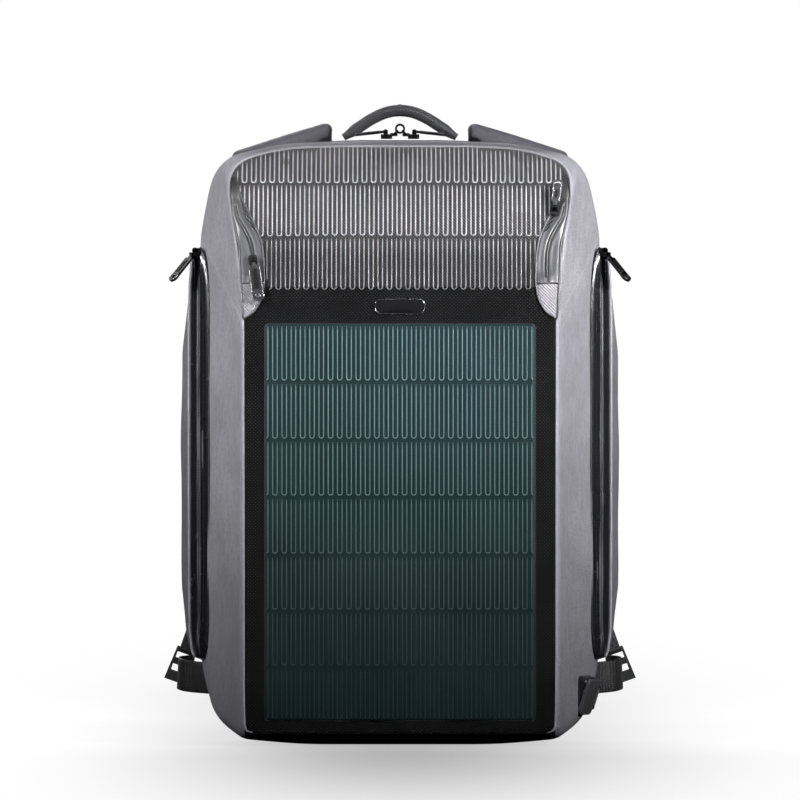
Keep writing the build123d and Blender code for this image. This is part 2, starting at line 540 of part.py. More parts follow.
for z in (250.0, 176.0):
    clip = block(14, 26, FRONT_Y + WALL, FRONT_Y + WALL + 10.5, z - 4, z + 4) - block(16.9, 23.1, -82.6, -70, z - 5, z + 5)
    clips += clip.solids()
keep("cable_clips", Compound(children=clips))
lining = block(-84, 84, -72, -70.6, 2, 320) & body(-WALL)
keep("inner_lining", lining)
sleeve = block(-112, 112, 50, 56, 2, 332) & body(-WALL)
keep("laptop_sleeve", sleeve)
keep("sleeve_strap", block(-18, 18, 48.4, 50, 262, 326))

# ---- export -------------------------------------------------------------------------------------------------
if __name__ == "__main__":
    for old in os.listdir("parts"):
        if old.endswith(".step"):
            os.remove(os.path.join("parts", old))
    for name, shape in NODES.items():
        export_step(shape, f"parts/{name}.step")
    print("nodes", len(NODES))
    print("side pin", side_pin, side_dir, "sn", sn, "sv", sv)
    print("corner pin", corner_pin, corner_dir, "track", corner_track, "n", corner_n)
    print("right corner pin", rpin, "track", rt)
    print("main pin", main_pin, "n", top_n, "v", top_v)
    print("usb axis point", usb_plane.from_local_coords((HX, 0, HN)), "dir", usb_plane.y_dir, "n", usb_n)
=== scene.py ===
import json
import math
import bmesh
import bpy
import numpy as np
from mathutils import Vector, Matrix, noise

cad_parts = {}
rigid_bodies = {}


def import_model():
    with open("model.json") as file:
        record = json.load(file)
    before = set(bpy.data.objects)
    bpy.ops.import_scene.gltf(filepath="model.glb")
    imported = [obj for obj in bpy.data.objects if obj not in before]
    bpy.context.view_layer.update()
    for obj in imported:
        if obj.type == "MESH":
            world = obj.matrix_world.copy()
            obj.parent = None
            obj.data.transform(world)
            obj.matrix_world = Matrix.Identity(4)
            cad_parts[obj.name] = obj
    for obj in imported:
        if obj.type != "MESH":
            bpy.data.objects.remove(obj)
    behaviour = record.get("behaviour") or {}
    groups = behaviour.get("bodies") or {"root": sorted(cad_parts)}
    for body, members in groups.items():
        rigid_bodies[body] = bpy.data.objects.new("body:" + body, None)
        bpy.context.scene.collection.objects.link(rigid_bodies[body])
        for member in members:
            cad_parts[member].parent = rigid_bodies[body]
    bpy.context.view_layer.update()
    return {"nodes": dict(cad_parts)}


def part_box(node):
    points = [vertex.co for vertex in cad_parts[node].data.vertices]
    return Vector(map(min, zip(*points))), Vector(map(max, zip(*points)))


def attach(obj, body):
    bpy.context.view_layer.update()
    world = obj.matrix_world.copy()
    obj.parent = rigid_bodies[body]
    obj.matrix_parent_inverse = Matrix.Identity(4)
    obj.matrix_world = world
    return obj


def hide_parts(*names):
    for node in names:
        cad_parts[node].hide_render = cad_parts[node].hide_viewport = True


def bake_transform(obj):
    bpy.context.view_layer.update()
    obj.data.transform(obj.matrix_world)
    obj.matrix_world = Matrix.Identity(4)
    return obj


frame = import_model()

rng = np.random.default_rng(7)

# ------------------------------------------------------------------ outlines of the bag (millimetres)
FRONT_OUT = [(-70, 0, 260), (70, 0, 260), (118.5, 6, 18), (141, 21, 34), (151, 62, 90), (153, 180, 300), (153, 386, 90),
             (138.5, 446, 34), (85, 459.5, 110), (30, 463, 250), (-30, 463, 250), (-85, 459.5, 110), (-138.5, 446, 34),
             (-153, 386, 90), (-153, 180, 300), (-151, 62, 90), (-141, 21, 34), (-118.5, 6, 18)]
SIDE_OUT = [(-72, 0, 14), (66, 0, 10), (80, 20, 12), (80, 446, 14), (58, 463, 14), (30, 463, 50), (-30, 457, 34),
            (-62, 430, 42), (-90, 345, 60), (-90, 10, 12)]
PLAN_OUT = [(-118.5, -92, 2), (118.5, -92, 2), (153, -8, 75), (153, 48, 38), (128, 84, 18), (-128, 84, 18), (-153, 48, 38),
            (-153, -8, 75)]
POCKET_XZ = [(-120, 62, 1), (-150, 62, 12), (-162, 77, 20), (-166.5, 120, 60), (-167.6, 225, 200), (-166, 300, 80),
             (-161.5, 343, 60), (-153, 381, 4), (-120, 383, 1)]
POCKET_YZ = [(-20, 62, 14), (-38, 96, 40), (-40, 200, 200), (-38, 300, 60), (-31, 354, 24), (-14, 382, 6), (10, 382, 6),
             (15.5, 340, 30), (15.5, 90, 20), (4, 62, 10)]
POCKET_XY = [(-120, -45, 1), (-143.5, -33, 1.5), (-163, -8, 3), (-168, 2, 10), (-168, 12, 6), (-160, 16, 8), (-120, 16, 1)]


def dense(pts, per=8):
    """A filleted polygon as many short edges: (midpoints, outward normals)."""
    n = len(pts)
    area = sum(pts[i][0] * pts[(i + 1) % n][1] - pts[(i + 1) % n][0] * pts[i][1] for i in range(n))
    out = []
    for i in range(n):
        a, b, c = (np.array(pts[j % n][:2], float) for j in (i - 1, i, i + 1))
        r = pts[i][2]
        d1, d2 = (a - b) / np.linalg.norm(a - b), (c - b) / np.linalg.norm(c - b)
        half = math.acos(max(-1, min(1, float(d1 @ d2)))) / 2
        t = min(r / math.tan(half), 0.499 * np.linalg.norm(a - b), 0.499 * np.linalg.norm(c - b))
        rr = t * math.tan(half)
        bis = (d1 + d2) / np.linalg.norm(d1 + d2)
        centre = b + bis * (rr / math.sin(half))
        p0, p1 = b + d1 * t, b + d2 * t
        a0, a1 = math.atan2(*(p0 - centre)[::-1]), math.atan2(*(p1 - centre)[::-1])
        da = (a1 - a0 + math.pi) % (2 * math.pi) - math.pi
        for j in range(per + 1):
            an = a0 + da * j / per
            out.append(centre + rr * np.array([math.cos(an), math.sin(an)]))
    out = np.array(out)
    if area < 0:
        out = out[::-1]
    e = np.roll(out, -1, 0) - out
    keep = np.linalg.norm(e, axis=1) > 1e-6
    p, e = out[keep], e[keep]
    nn = np.stack([e[:, 1], -e[:, 0]], 1)
    nn /= np.linalg.norm(nn, axis=1)[:, None]
    return p, nn, (p * nn).sum(1)


DF, DS, DP = dense(FRONT_OUT), dense(SIDE_OUT), dense(PLAN_OUT)
PXZ, PYZ, PXY = dense(POCKET_XZ), dense(POCKET_YZ), dense(POCKET_XY)


def sd(shape, u, v):
    return (u[:, None] * shape[1][None, :, 0] + v[:, None] * shape[1][None, :, 1] - shape[2][None, :]).max(1)


def smax(a, b, k):
    h = np.clip(k - np.abs(a - b), 0, None) / k
    return np.maximum(a, b) + h * h * k / 4


def F(p, k=4.0):
    return smax(smax(sd(DS, p[:, 1], p[:, 2]), sd(DP, p[:, 0], p[:, 1]), k), sd(DF, p[:, 0], p[:, 2]), 9.0)


def FP(p):
    return smax(smax(sd(PXZ, -abs(p[:, 0]), p[:, 2]), sd(PYZ, p[:, 1], p[:, 2]), 3.0), sd(PXY, -abs(p[:, 0]), p[:, 1]), 2.0)


def hit(o, d, level=0.0, fn=F, far=220.0):
    o, d = np.asarray(o, float).reshape(-1, 3), np.asarray(d, float).reshape(-1, 3)
    d = d / np.linalg.norm(d, axis=1)[:, None]
    lo, hi = np.zeros(len(o)), np.full(len(o), far)
    level = np.broadcast_to(level, (len(o),))
    for _ in range(26):
        m = (lo + hi) / 2
        inside = fn(o + d * m[:, None]) < level
        lo, hi = np.where(inside, m, lo), np.where(inside, hi, m)
    return o + d * ((lo + hi) / 2)[:, None]


def sstep(a, b, x):
    t = np.clip((np.asarray(x, float) - a) / (b - a), 0, 1)
    return t * t * (3 - 2 * t)


def soft(p, scale=0.012, seed=0.0):
    """Slow noise over space for soft cloth; p in mm."""
    return np.array([noise.noise(Vector((q[0] * scale + seed, q[1] * scale, q[2] * scale))) for q in p.reshape(-1, 3)]).reshape(p.shape[:-1])


def normals_of(g):
    """Normals of a grid of points (rows, columns, 3)."""
    du, dv = np.gradient(g, axis=1), np.gradient(g, axis=0)
    n = np.cross(du, dv)
    return n / np.maximum(np.linalg.norm(n, axis=2), 1e-9)[..., None]


# ------------------------------------------------------------------ mesh helpers
def link(me, name, mat=None):
    ob = bpy.data.objects.new(name, me)
    bpy.context.scene.collection.objects.link(ob)
    if mat:
        me.materials.append(mat)
    return ob


def mesh(name, verts, faces, uvs=None, mat=None, smooth=True, fmat=None, mats=None, sharp=None):
    """verts in mm; uvs per vertex in mm (u, v)."""
    me = bpy.data.meshes.new(name)
    me.from_pydata([tuple(v) for v in np.asarray(verts, float) * 0.001], [], [tuple(f) for f in faces])
    if uvs is not None:
        lay = me.uv_layers.new(name="UVMap")
        idx = np.zeros(len(me.loops), np.int32)
        me.loops.foreach_get("vertex_index", idx)
        lay.data.foreach_set("uv", (np.asarray(uvs, float)[idx] * 0.001).astype(np.float32).ravel())
    if smooth:
        me.polygons.foreach_set("use_smooth", [True] * len(me.polygons))
    ob = link(me, name, mat)
    if mats:
        for m in mats:
            me.materials.append(m)
        if fmat is not None:
            me.polygons.foreach_set("material_index", fmat)
    me.update()
    me.validate()
    return ob


def grid_faces(r, c, base=0, flip=False, wrap_c=False, wrap_r=False):
    out = []
    for i in range(r if wrap_r else r - 1):
        for j in range(c if wrap_c else c - 1):
            a, b = base + i * c + j, base + i * c + (j + 1) % c
            d, e = base + ((i + 1) % r) * c + j, base + ((i + 1) % r) * c + (j + 1) % c
            out.append((a, d, e, b) if flip else (a, b, e, d))
    return out


def grid_uv(g, u0=0.0, v0=0.0):
    """UVs in mm from arc lengths along the middle row and column."""
    r, c = g.shape[:2]
    u = np.zeros((r, c))
    u[:, 1:] = np.cumsum(np.linalg.norm(np.diff(g, axis=1), axis=2), axis=1)
    u -= u[:, c // 2][:, None]
    v = np.zeros((r, c))
    v[1:, :] = np.cumsum(np.linalg.norm(np.diff(g, axis=0), axis=2), axis=0)
    v = np.repeat(v[:, c // 2][:, None], c, 1)
    return np.stack([u + u0, v + v0], 2)


def sheet_shell(name, g, thick, mat, uv=None, outward=None):
    """A cloth panel from a grid: outer face g, inner face offset inwards by thick, closed at the rim."""
    r, c = g.shape[:2]
    n = normals_of(g)
    mid = g[r // 2, c // 2]
    if outward is None:
        outward = mid - np.array([0, 0, 230.0])
    flip = float(n[r // 2, c // 2] @ np.asarray(outward, float)) < 0
    if flip:
        n = -n
    inner = g - n * thick
    uv = grid_uv(g) if uv is None else uv
    verts = np.concatenate([g.reshape(-1, 3), inner.reshape(-1, 3)])
    uvs = np.concatenate([uv.reshape(-1, 2), uv.reshape(-1, 2)])
    k = r * c
    faces = grid_faces(r, c, 0, flip) + grid_faces(r, c, k, not flip)
    rim = [(0, j) for j in range(c)] + [(i, c - 1) for i in range(1, r)] + [(r - 1, j) for j in range(c - 2, -1, -1)] + [(i, 0) for i in range(r - 2, 0, -1)]
    for q in range(len(rim)):
        (i0, j0), (i1, j1) = rim[q], rim[(q + 1) % len(rim)]
        a, b = i0 * c + j0, i1 * c + j1
        faces.append((a, b, b + k, a + k) if flip else (b, a, a + k, b + k))
    return mesh(name, verts, faces, uvs, mat)


def frames(path, up=None):
    """Tangent, side and normal along a polyline by parallel transport, or from given normals."""
    t = np.gradient(path, axis=0)
    t /= np.maximum(np.linalg.norm(t, axis=1), 1e-9)[:, None]
    if up is None:
        ref = np.array([0, 0, 1.0]) if abs(t[0][2]) < 0.9 else np.array([0, 1.0, 0])
        ns = []
        n = ref - t[0] * (ref @ t[0])
        n /= np.linalg.norm(n)
        for i in range(len(path)):
            n = n - t[i] * (n @ t[i])
            n /= np.linalg.norm(n)
            ns.append(n)
        n = np.array(ns)
    else:
        n = up - t * (up * t).sum(1)[:, None]
        n /= np.maximum(np.linalg.norm(n, axis=1), 1e-9)[:, None]
    return t, np.cross(t, n), n


def sweep(name, path, section, mat, up=None, closed=False, cap=True, scale=None, uscale=1.0):
    """Sweeps a closed section [(side, normal)] in mm along a path."""
    path, section = np.asarray(path, float), np.asarray(section, float)
    t, s, n = frames(path, up)
    r, c = len(path), len(section)
    sc = np.ones((r, 2)) if scale is None else np.asarray(scale, float)
    v = path[:, None, :] + s[:, None, :] * (section[None, :, 0:1] * sc[:, None, 0:1]) + n[:, None, :] * (section[None, :, 1:2] * sc[:, None, 1:2])
    L = np.concatenate([[0], np.cumsum(np.linalg.norm(np.diff(path, axis=0), axis=1))])
    A = np.concatenate([[0], np.cumsum(np.linalg.norm(np.diff(section, axis=0), axis=1))])
    uv = np.stack(np.meshgrid(A, L * uscale), 2)
    faces = grid_faces(r, c, 0, True, wrap_c=True, wrap_r=closed)
    verts = v.reshape(-1, 3)
    if cap and not closed:
        faces.append(tuple(range(c)))
        faces.append(tuple(range((r - 1) * c, r * c))[::-1])
    return mesh(name, verts, faces, uv.reshape(-1, 2), mat)


def circle(r, n=10, ry=None):
    return [(r * math.cos(2 * math.pi * i / n), (ry or r) * math.sin(2 * math.pi * i / n)) for i in range(n)]


def smooth_path(p, n):
    """Catmull-Rom through points, n samples, even arc length."""
    p = np.asarray(p, float)
    q = np.concatenate([[2 * p[0] - p[1]], p, [2 * p[-1] - p[-2]]])
    out = []
    for i in range(len(p) - 1):
        a, b, c, d = q[i:i + 4]
        for t in np.linspace(0, 1, 24, endpoint=False):
            out.append(0.5 * ((2 * b) + (-a + c) * t + (2 * a - 5 * b + 4 * c - d) * t * t + (-a + 3 * b - 3 * c + d) * t ** 3))
    out.append(p[-1])
    return resample(np.array(out), n)


def resample(p, n):
    L = np.concatenate([[0], np.cumsum(np.linalg.norm(np.diff(p, axis=0), axis=1))])
    return np.stack([np.interp(np.linspace(0, L[-1], n), L, p[:, i]) for i in range(p.shape[1])], 1)


def join(objs, name):
    """Merges several mesh objects into one."""
    verts, faces, fm, mats, off = [], [], [], [], 0
    uvs = []
    for o in objs:
        me = o.data
        co = np.zeros(len(me.vertices) * 3, np.float32)
        me.vertices.foreach_get("co", co)
        verts.append(co.reshape(-1, 3))
        mi = []
        for m in me.materials:
            if m not in mats:
                mats.append(m)
            mi.append(mats.index(m))
        for p in me.polygons:
            faces.append(tuple(i + off for i in p.vertices))
            fm.append(mi[p.material_index] if mi else 0)
        if me.uv_layers:
            u = np.zeros(len(me.loops) * 2, np.float32)
            me.uv_layers[0].data.foreach_get("uv", u)
            uvs.append(u.reshape(-1, 2))
        else:
            uvs.append(np.zeros((len(me.loops), 2), np.float32))
        off += len(me.vertices)
    me = bpy.data.meshes.new(name)
    me.from_pydata([tuple(v) for v in np.concatenate(verts).astype(float)], [], faces)
    lay = me.uv_layers.new(name="UVMap")
    lay.data.foreach_set("uv", np.concatenate(uvs).ravel())
    me.polygons.foreach_set("use_smooth", [True] * len(me.polygons))
    for m in mats:
        me.materials.append(m)
    me.polygons.foreach_set("material_index", fm)
    me.update()
    for o in objs:
        old = o.data
        bpy.data.objects.remove(o)
        bpy.data.meshes.remove(old)
    return link(me, name)


def bevel(ob, width=0.0003, seg=2, angle=35):
    m = ob.modifiers.new("edge", "BEVEL")
    m.width, m.segments, m.limit_method, m.angle_limit = width, seg, "ANGLE", math.radians(angle)
    return ob


# ------------------------------------------------------------------ materials
class Net:
    """A short way to write a material's node tree."""

    def __init__(self, name, rough=0.6, metal=0.0, spec=0.5, coat=0.0, coat_rough=0.2, sheen=0.0, sheen_rough=0.4, sheen_tint=(1, 1, 1), aniso=0.0):
        self.m = bpy.data.materials.new(name)
        self.m.use_nodes = True
        self.t = self.m.node_tree
        self.b = self.t.nodes["Principled BSDF"]
        i = self.b.inputs
        i["Roughness"].default_value = rough
        i["Metallic"].default_value = metal
        i["Specular IOR Level"].default_value = spec
        i["Coat Weight"].default_value = coat
        i["Coat Roughness"].default_value = coat_rough
        i["Sheen Weight"].default_value = sheen
        i["Sheen Roughness"].default_value = sheen_rough
        i["Sheen Tint"].default_value = (*sheen_tint, 1)
        i["Anisotropic"].default_value = aniso
        self.tc = self.t.nodes.new("ShaderNodeTexCoord")

    def put(self, sock, v):
        if isinstance(v, bpy.types.NodeSocket):
            self.t.links.new(v, sock)
        elif isinstance(v, (tuple, list)):
            sock.default_value = (*v, 1) if len(v) == 3 and len(sock.default_value) == 4 else v
        else:
            sock.default_value = v

    def f(self, op, a, b=0.0, c=0.0):
        n = self.t.nodes.new("ShaderNodeMath")
        n.operation = op
        self.put(n.inputs[0], a)
        self.put(n.inputs[1], b)
        if op in ("MULTIPLY_ADD", "SMOOTH_MIN"):
            self.put(n.inputs[2], c)
        return n.outputs[0]

    def mul(self, a, b):
        return self.f("MULTIPLY", a, b)

    def add(self, a, b):
        return self.f("ADD", a, b)

    def sine(self, a, period, phase=0.0):
        """0..1 wave of the given period in metres."""
        s = self.f("SINE", self.f("MULTIPLY_ADD", a, 2 * math.pi / period, phase))
        return self.f("MULTIPLY_ADD", s, 0.5, 0.5)

    def ramp(self, x, lo, hi, a=0.0, b=1.0):
        n = self.t.nodes.new("ShaderNodeMapRange")
        n.interpolation_type = "SMOOTHSTEP"
        self.put(n.inputs["Value"], x)
        for k, v in (("From Min", lo), ("From Max", hi), ("To Min", a), ("To Max", b)):
            self.put(n.inputs[k], v)
        return n.outputs["Result"]

    def uv(self, obj=False):
        s = self.t.nodes.new("ShaderNodeSeparateXYZ")
        self.t.links.new(self.tc.outputs["Object" if obj else "UV"], s.inputs[0])
        return s.outputs[0], s.outputs[1], s.outputs[2]

    def noise(self, scale, detail=3.0, rough=0.55, obj=True, stretch=None):
        n = self.t.nodes.new("ShaderNodeTexNoise")
        n.inputs["Scale"].default_value = scale
        n.inputs["Detail"].default_value = detail
        n.inputs["Roughness"].default_value = rough
        src = self.tc.outputs["Object" if obj else "UV"]
        if stretch:
            mp = self.t.nodes.new("ShaderNodeMapping")
            mp.inputs["Scale"].default_value = stretch
            self.t.links.new(src, mp.inputs["Vector"])
            src = mp.outputs[0]
        self.t.links.new(src, n.inputs["Vector"])
        return n.outputs["Fac"]

    def voronoi(self, scale, obj=True):
        n = self.t.nodes.new("ShaderNodeTexVoronoi")
        n.inputs["Scale"].default_value = scale
        self.t.links.new(self.tc.outputs["Object" if obj else "UV"], n.inputs["Vector"])
        return n.outputs["Distance"]

    def mix(self, fac, a, b):
        n = self.t.nodes.new("ShaderNodeMix")
        n.data_type = "RGBA"
        self.put(n.inputs[0], fac)
        self.put(n.inputs[6], a)
        self.put(n.inputs[7], b)
        return n.outputs[2]

    def colour(self, c):
        self.put(self.b.inputs["Base Color"], c)

    def rough(self, r):
        self.put(self.b.inputs["Roughness"], r)

    def bump(self, h, dist=0.0003, strength=1.0):
        n = self.t.nodes.new("ShaderNodeBump")
        n.inputs["Distance"].default_value = dist
        n.inputs["Strength"].default_value = strength
        self.put(n.inputs["Height"], h)
        self.t.links.new(n.outputs[0], self.b.inputs["Normal"])


def srgb(r, g, b):
    return tuple((v / 255 / 12.92 if v / 255 <= 0.04045 else ((v / 255 + 0.055) / 1.055) ** 2.4) for v in (r, g, b))


def shade(c, k):
    return tuple(v * k for v in c)


def painted_edge_highlight(n, amount=0.25):
    """Brighter where the surface turns sharply outwards: a painted highlight on convex edges."""
    g = n.t.nodes.new("ShaderNodeNewGeometry")
    return n.ramp(g.outputs["Pointiness"], 0.52, 0.60, 0.0, amount)


def twill_material(name, base, period=0.0015, obj=False, contrast=0.5, rough=0.62, sheen=0.35, bump=0.00022, cross=True, spec=0.35, roof=0.0):
    n = Net(name, rough=rough, sheen=sheen, sheen_rough=0.45, spec=spec, sheen_tint=(0.93, 0.93, 1.0))
    u, v, w = n.uv(obj)
    if obj:
        v = w
    d1 = n.sine(n.add(u, v), period)
    d2 = n.sine(n.f("SUBTRACT", u, n.mul(v, 0.45)), period * 0.62)
    h = n.mul(d1, n.f("MULTIPLY_ADD", d2, 0.35, 0.65)) if cross else d1
    slow = n.noise(22, 3)
    fine = n.noise(900, 2, 0.7)
    melange = n.noise(260, 4, 0.75, stretch=(1.0, 1.0, 0.25))
    tone = n.f("MULTIPLY_ADD", slow, 0.5, n.f("MULTIPLY_ADD", melange, 0.6, 0.0))
    c = n.mix(h, shade(base, 1 - contrast), shade(base, 1 + contrast * 0.8))
    c = n.mix(n.ramp(tone, 0.35, 0.8, 0.0, 0.6), c, shade(base, 1.5))
    c = n.mix(n.ramp(n.noise(520, 2, 0.6), 0.42, 0.68, 0.0, 0.45), c, shade(base, 0.5))
    # painted highlight: convex edges of the cloth are mixed towards a much lighter copy of the base
    c = n.mix(painted_edge_highlight(n, 0.3), c, shade(base, 1.9))
    # roof: painted shade, above z 0.446 m the colour is mixed towards a near-black copy of the base so the top of the
    # bag looks shaded
    if roof:
        c = n.mix(n.ramp(n.uv(True)[2], 0.446, 0.456, 0.0, roof), c, shade(base, 0.12))
    n.colour(c)
    n.rough(n.ramp(n.add(n.mul(slow, 0.5), n.mul(h, 0.5)), 0.2, 0.8, rough + 0.08, rough - 0.1))
    n.bump(n.add(h, n.mul(fine, 0.5)), bump)
    return n.m


def diamond_material(name, base, dot, period=0.0017, rough=0.5, bump=0.0003, dots=0.8, coat=0.0, sheen=0.03, floor_=0.55, spec=0.25, fade=None):
    n = Net(name, rough=rough, sheen=sheen, spec=spec, coat=coat, coat_rough=0.35)
    u, v, _ = n.uv()
    a = n.sine(n.add(u, v), period)
    b = n.sine(n.f("SUBTRACT", u, v), period)
    h = n.mul(a, b)
    k = n.ramp(h, floor_, 0.92)
    slow = n.noise(30, 3)
    c = n.mix(n.mul(k, n.ramp(slow, 0.25, 0.75, dots * 0.55, dots)), base, dot)
    # fade: painted shade, below the given z span the dots fade into a darker plain copy of the base
    if fade:
        c = n.mix(n.ramp(n.uv(True)[2], fade[0], fade[1], 0.93, 0.0), c, shade(base, 0.9))
    n.colour(c)
    n.rough(n.ramp(slow, 0.3, 0.7, rough + 0.06, rough - 0.06))
    n.bump(n.add(h, n.mul(n.noise(1200, 2), 0.3)), bump)
    return n.m


GREY = srgb(122, 121, 127)
# grey_twill (roof=0.92) and the piping (roof=0.55) carry painted shade on the top of the bag
grey_twill = twill_material("grey_twill", GREY, 0.0021, roof=0.92, contrast=0.85, bump=0.0005, sheen=0.07)
# a darker copy of the same grey twill for the side pockets: painted shade
pocket_twill_painted_shade = twill_material("grey_twill_pocket_painted_shade", srgb(88, 87, 92), 0.0021, contrast=0.85, bump=0.0005, sheen=0.07)
grey_light = twill_material("grey_twill_piping", srgb(128, 127, 132), 0.0013, contrast=0.35, rough=0.55, sheen=0.03, roof=0.55)
grey_satin = twill_material("grey_twill_strap", srgb(58, 58, 63), 0.0014, contrast=0.4, rough=0.6, sheen=0.08)
black_weave = diamond_material("black_mesh_fabric", (0.0008, 0.0008, 0.0009), (0.05, 0.05, 0.053), 0.0026, rough=0.6, dots=0.9, spec=0.06, sheen=0.0, floor_=0.6, bump=0.0004)
base_weave = diamond_material("base_mesh_fabric", (0.006, 0.006, 0.006), (0.05, 0.05, 0.052), 0.0024, rough=0.6, dots=0.6)
# the pattern's lowest row is darkened by painted shade (fade)
pattern_weave = diamond_material("pattern_fabric", (0.006, 0.006, 0.0065), (0.40, 0.40, 0.41), 0.0024, rough=0.5, bump=0.0004, dots=0.85, coat=0.03, floor_=0.5, spec=0.15, fade=(0.372, 0.396))
lining_cloth = twill_material("lining_cloth", srgb(74, 74, 80), 0.0011, contrast=0.25, rough=0.7, sheen=0.2)


def silver_line():
    n = Net("pattern_line", rough=0.3, metal=0.25, spec=0.7, coat=0.3, coat_rough=0.25)
    s = n.noise(700, 2, 0.6)
    slow = n.noise(18, 2)
    c = n.mix(n.ramp(s, 0.3, 0.75), srgb(132, 132, 135), srgb(196, 196, 199))
    # painted shade: below z 0.362 m, fading out by 0.404 m, the lines are mixed towards a dull darker grey
    n.colour(n.mix(n.ramp(n.uv(True)[2], 0.362, 0.404, 0.9, 0.0), c, srgb(76, 76, 80)))
    n.rough(n.ramp(slow, 0.3, 0.7, 0.26, 0.38))
    n.bump(s, 0.0001)
    return n.m


def film():
    n = Net("solar_film", rough=0.42, spec=0.1, coat=0.03, coat_rough=0.3)
    x, y, z = n.uv(True)
    hx = n.sine(x, 0.0013)
    hz = n.sine(z, 0.0013)
    cell = n.mul(hx, hz)
    slow = n.noise(14, 3, 0.6)
    blot = n.noise(60, 4, 0.7)
    # painted shade: the film is darker towards the bottom and lighter towards the top, over z 0.02 to 0.32 m
    grad = n.ramp(z, 0.02, 0.32, 0.0, 1.0)
    c = n.mix(grad, srgb(10, 23, 25), srgb(19, 33, 35))
    c = n.mix(n.ramp(slow, 0.3, 0.75, 0.0, 0.3), c, srgb(18, 37, 42))
    c = n.mix(n.mul(cell, 0.35), c, srgb(34, 52, 55))
    c = n.mix(n.ramp(blot, 0.45, 0.8, 0.0, 0.12), c, srgb(9, 20, 23))
    n.colour(c)
    n.rough(n.ramp(slow, 0.3, 0.7, 0.30, 0.42))
    n.bump(n.add(cell, n.mul(n.noise(1500, 2), 0.3)), 0.00012)
    return n.m


def film_line():
    n = Net("solar_film_line", rough=0.3, spec=0.6, coat=0.4, coat_rough=0.2)
    x, y, z = n.uv(True)
    # painted shade: the lines are darker towards the bottom and lighter towards the top, over z 0.02 to 0.32 m
    grad = n.ramp(z, 0.02, 0.32, 0.0, 1.0)
    s = n.noise(600, 2, 0.7)
    c = n.mix(grad, srgb(26, 42, 44), srgb(80, 104, 106))
    c = n.mix(n.ramp(s, 0.4, 0.8, 0.0, 0.4), c, srgb(36, 56, 60))
    n.colour(c)
    n.bump(s, 0.0001)
    return n.m


def coated(name, base, rough=0.33, grain=420, bump=0.00012, coat=0.15, top=None):
    n = Net(name, rough=rough, spec=0.5, coat=coat, coat_rough=0.3)
    g = n.voronoi(grain)
    s = n.noise(35, 4, 0.6)
    c = n.mix(n.ramp(s, 0.3, 0.75), shade(base, 0.8), shade(base, 1.25))
    # painted highlight: convex edges are mixed towards a lighter copy of the base
    c = n.mix(painted_edge_highlight(n, 0.25), c, shade(base, 2.2))
    # top: painted shade, the colour goes much darker upwards over the given z span
    if top:
        c = n.mix(n.ramp(n.uv(True)[2], top[0], top[1], 0.0, 0.8), c, shade(base, 0.15))
    n.colour(c)
    n.rough(n.ramp(s, 0.3, 0.7, rough + 0.06, rough - 0.05))
    n.bump(n.add(g, n.mul(n.noise(90, 3), 0.8)), bump)
    return n.m


def moulded(name, base, rough=0.35, grain=1400, bump=0.00003, spec=0.5, coat=0.0, metal=0.0):
    n = Net(name, rough=rough, spec=spec, coat=coat, metal=metal, coat_rough=0.1)
    s = n.noise(grain, 2, 0.6)
    slow = n.noise(80, 3)
    c = n.mix(n.ramp(slow, 0.3, 0.7), shade(base, 0.85), shade(base, 1.2))
    # painted highlight: convex edges are mixed towards a lighter copy of the base
    c = n.mix(painted_edge_highlight(n, 0.3), c, tuple(min(v * 3 + 0.02, 1) for v in base))
    n.colour(c)
    n.rough(n.ramp(slow, 0.3, 0.75, rough + 0.07, rough - 0.05))
    n.bump(s, bump)
    return n.m


def ribbed(name, base, period=0.0022, cross=0.0011, rough=0.55, obj=False, swap=False):
    """Woven narrow tape: ribs across, threads along."""
    n = Net(name, rough=rough, sheen=0.2, sheen_rough=0.4, spec=0.4)
    u, v, w = n.uv(obj)
    if obj:
        v = w
    if swap:
        u, v = v, u
    rib = n.sine(v, period)
    thr = n.sine(n.add(u, n.mul(rib, cross * 0.25)), cross)
    h = n.add(n.mul(rib, 0.7), n.mul(thr, 0.5))
    s = n.noise(60, 3)
    c = n.mix(n.ramp(h, 0.2, 1.1), shade(base, 0.45), shade(base, 1.5))
    c = n.mix(n.ramp(s, 0.35, 0.8, 0, 0.3), c, shade(base, 1.8))
    n.colour(c)
    n.rough(n.ramp(s, 0.3, 0.7, rough + 0.07, rough - 0.07))
    n.bump(n.add(h, n.mul(n.noise(1100, 2), 0.3)), 0.00035)
    return n.m


def spacer():
    """Knitted spacer mesh: rows of small round holes."""
    n = Net("spacer_mesh", rough=0.8, sheen=0.3, sheen_rough=0.5, spec=0.25)
    u, v, _ = n.uv()
    a = n.mul(n.sine(u, 0.0042), n.sine(v, 0.0036))
    b = n.mul(n.sine(u, 0.0042, math.pi), n.sine(v, 0.0036, math.pi))
    hole = n.ramp(n.add(a, b), 0.55, 0.8)
    s = n.noise(700, 3, 0.7)
    slow = n.noise(16, 3)
    c = n.mix(n.ramp(s, 0.3, 0.8), srgb(36, 36, 39), srgb(62, 62, 66))
    c = n.mix(n.ramp(slow, 0.35, 0.75, 0, 0.25), c, srgb(76, 76, 80))
    # the holes are painted near-black: painted shade inside them
    c = n.mix(hole, c, (0.004, 0.004, 0.004))
    n.colour(c)
    n.bump(n.f("SUBTRACT", n.mul(s, 0.4), hole), 0.0007)
    return n.m


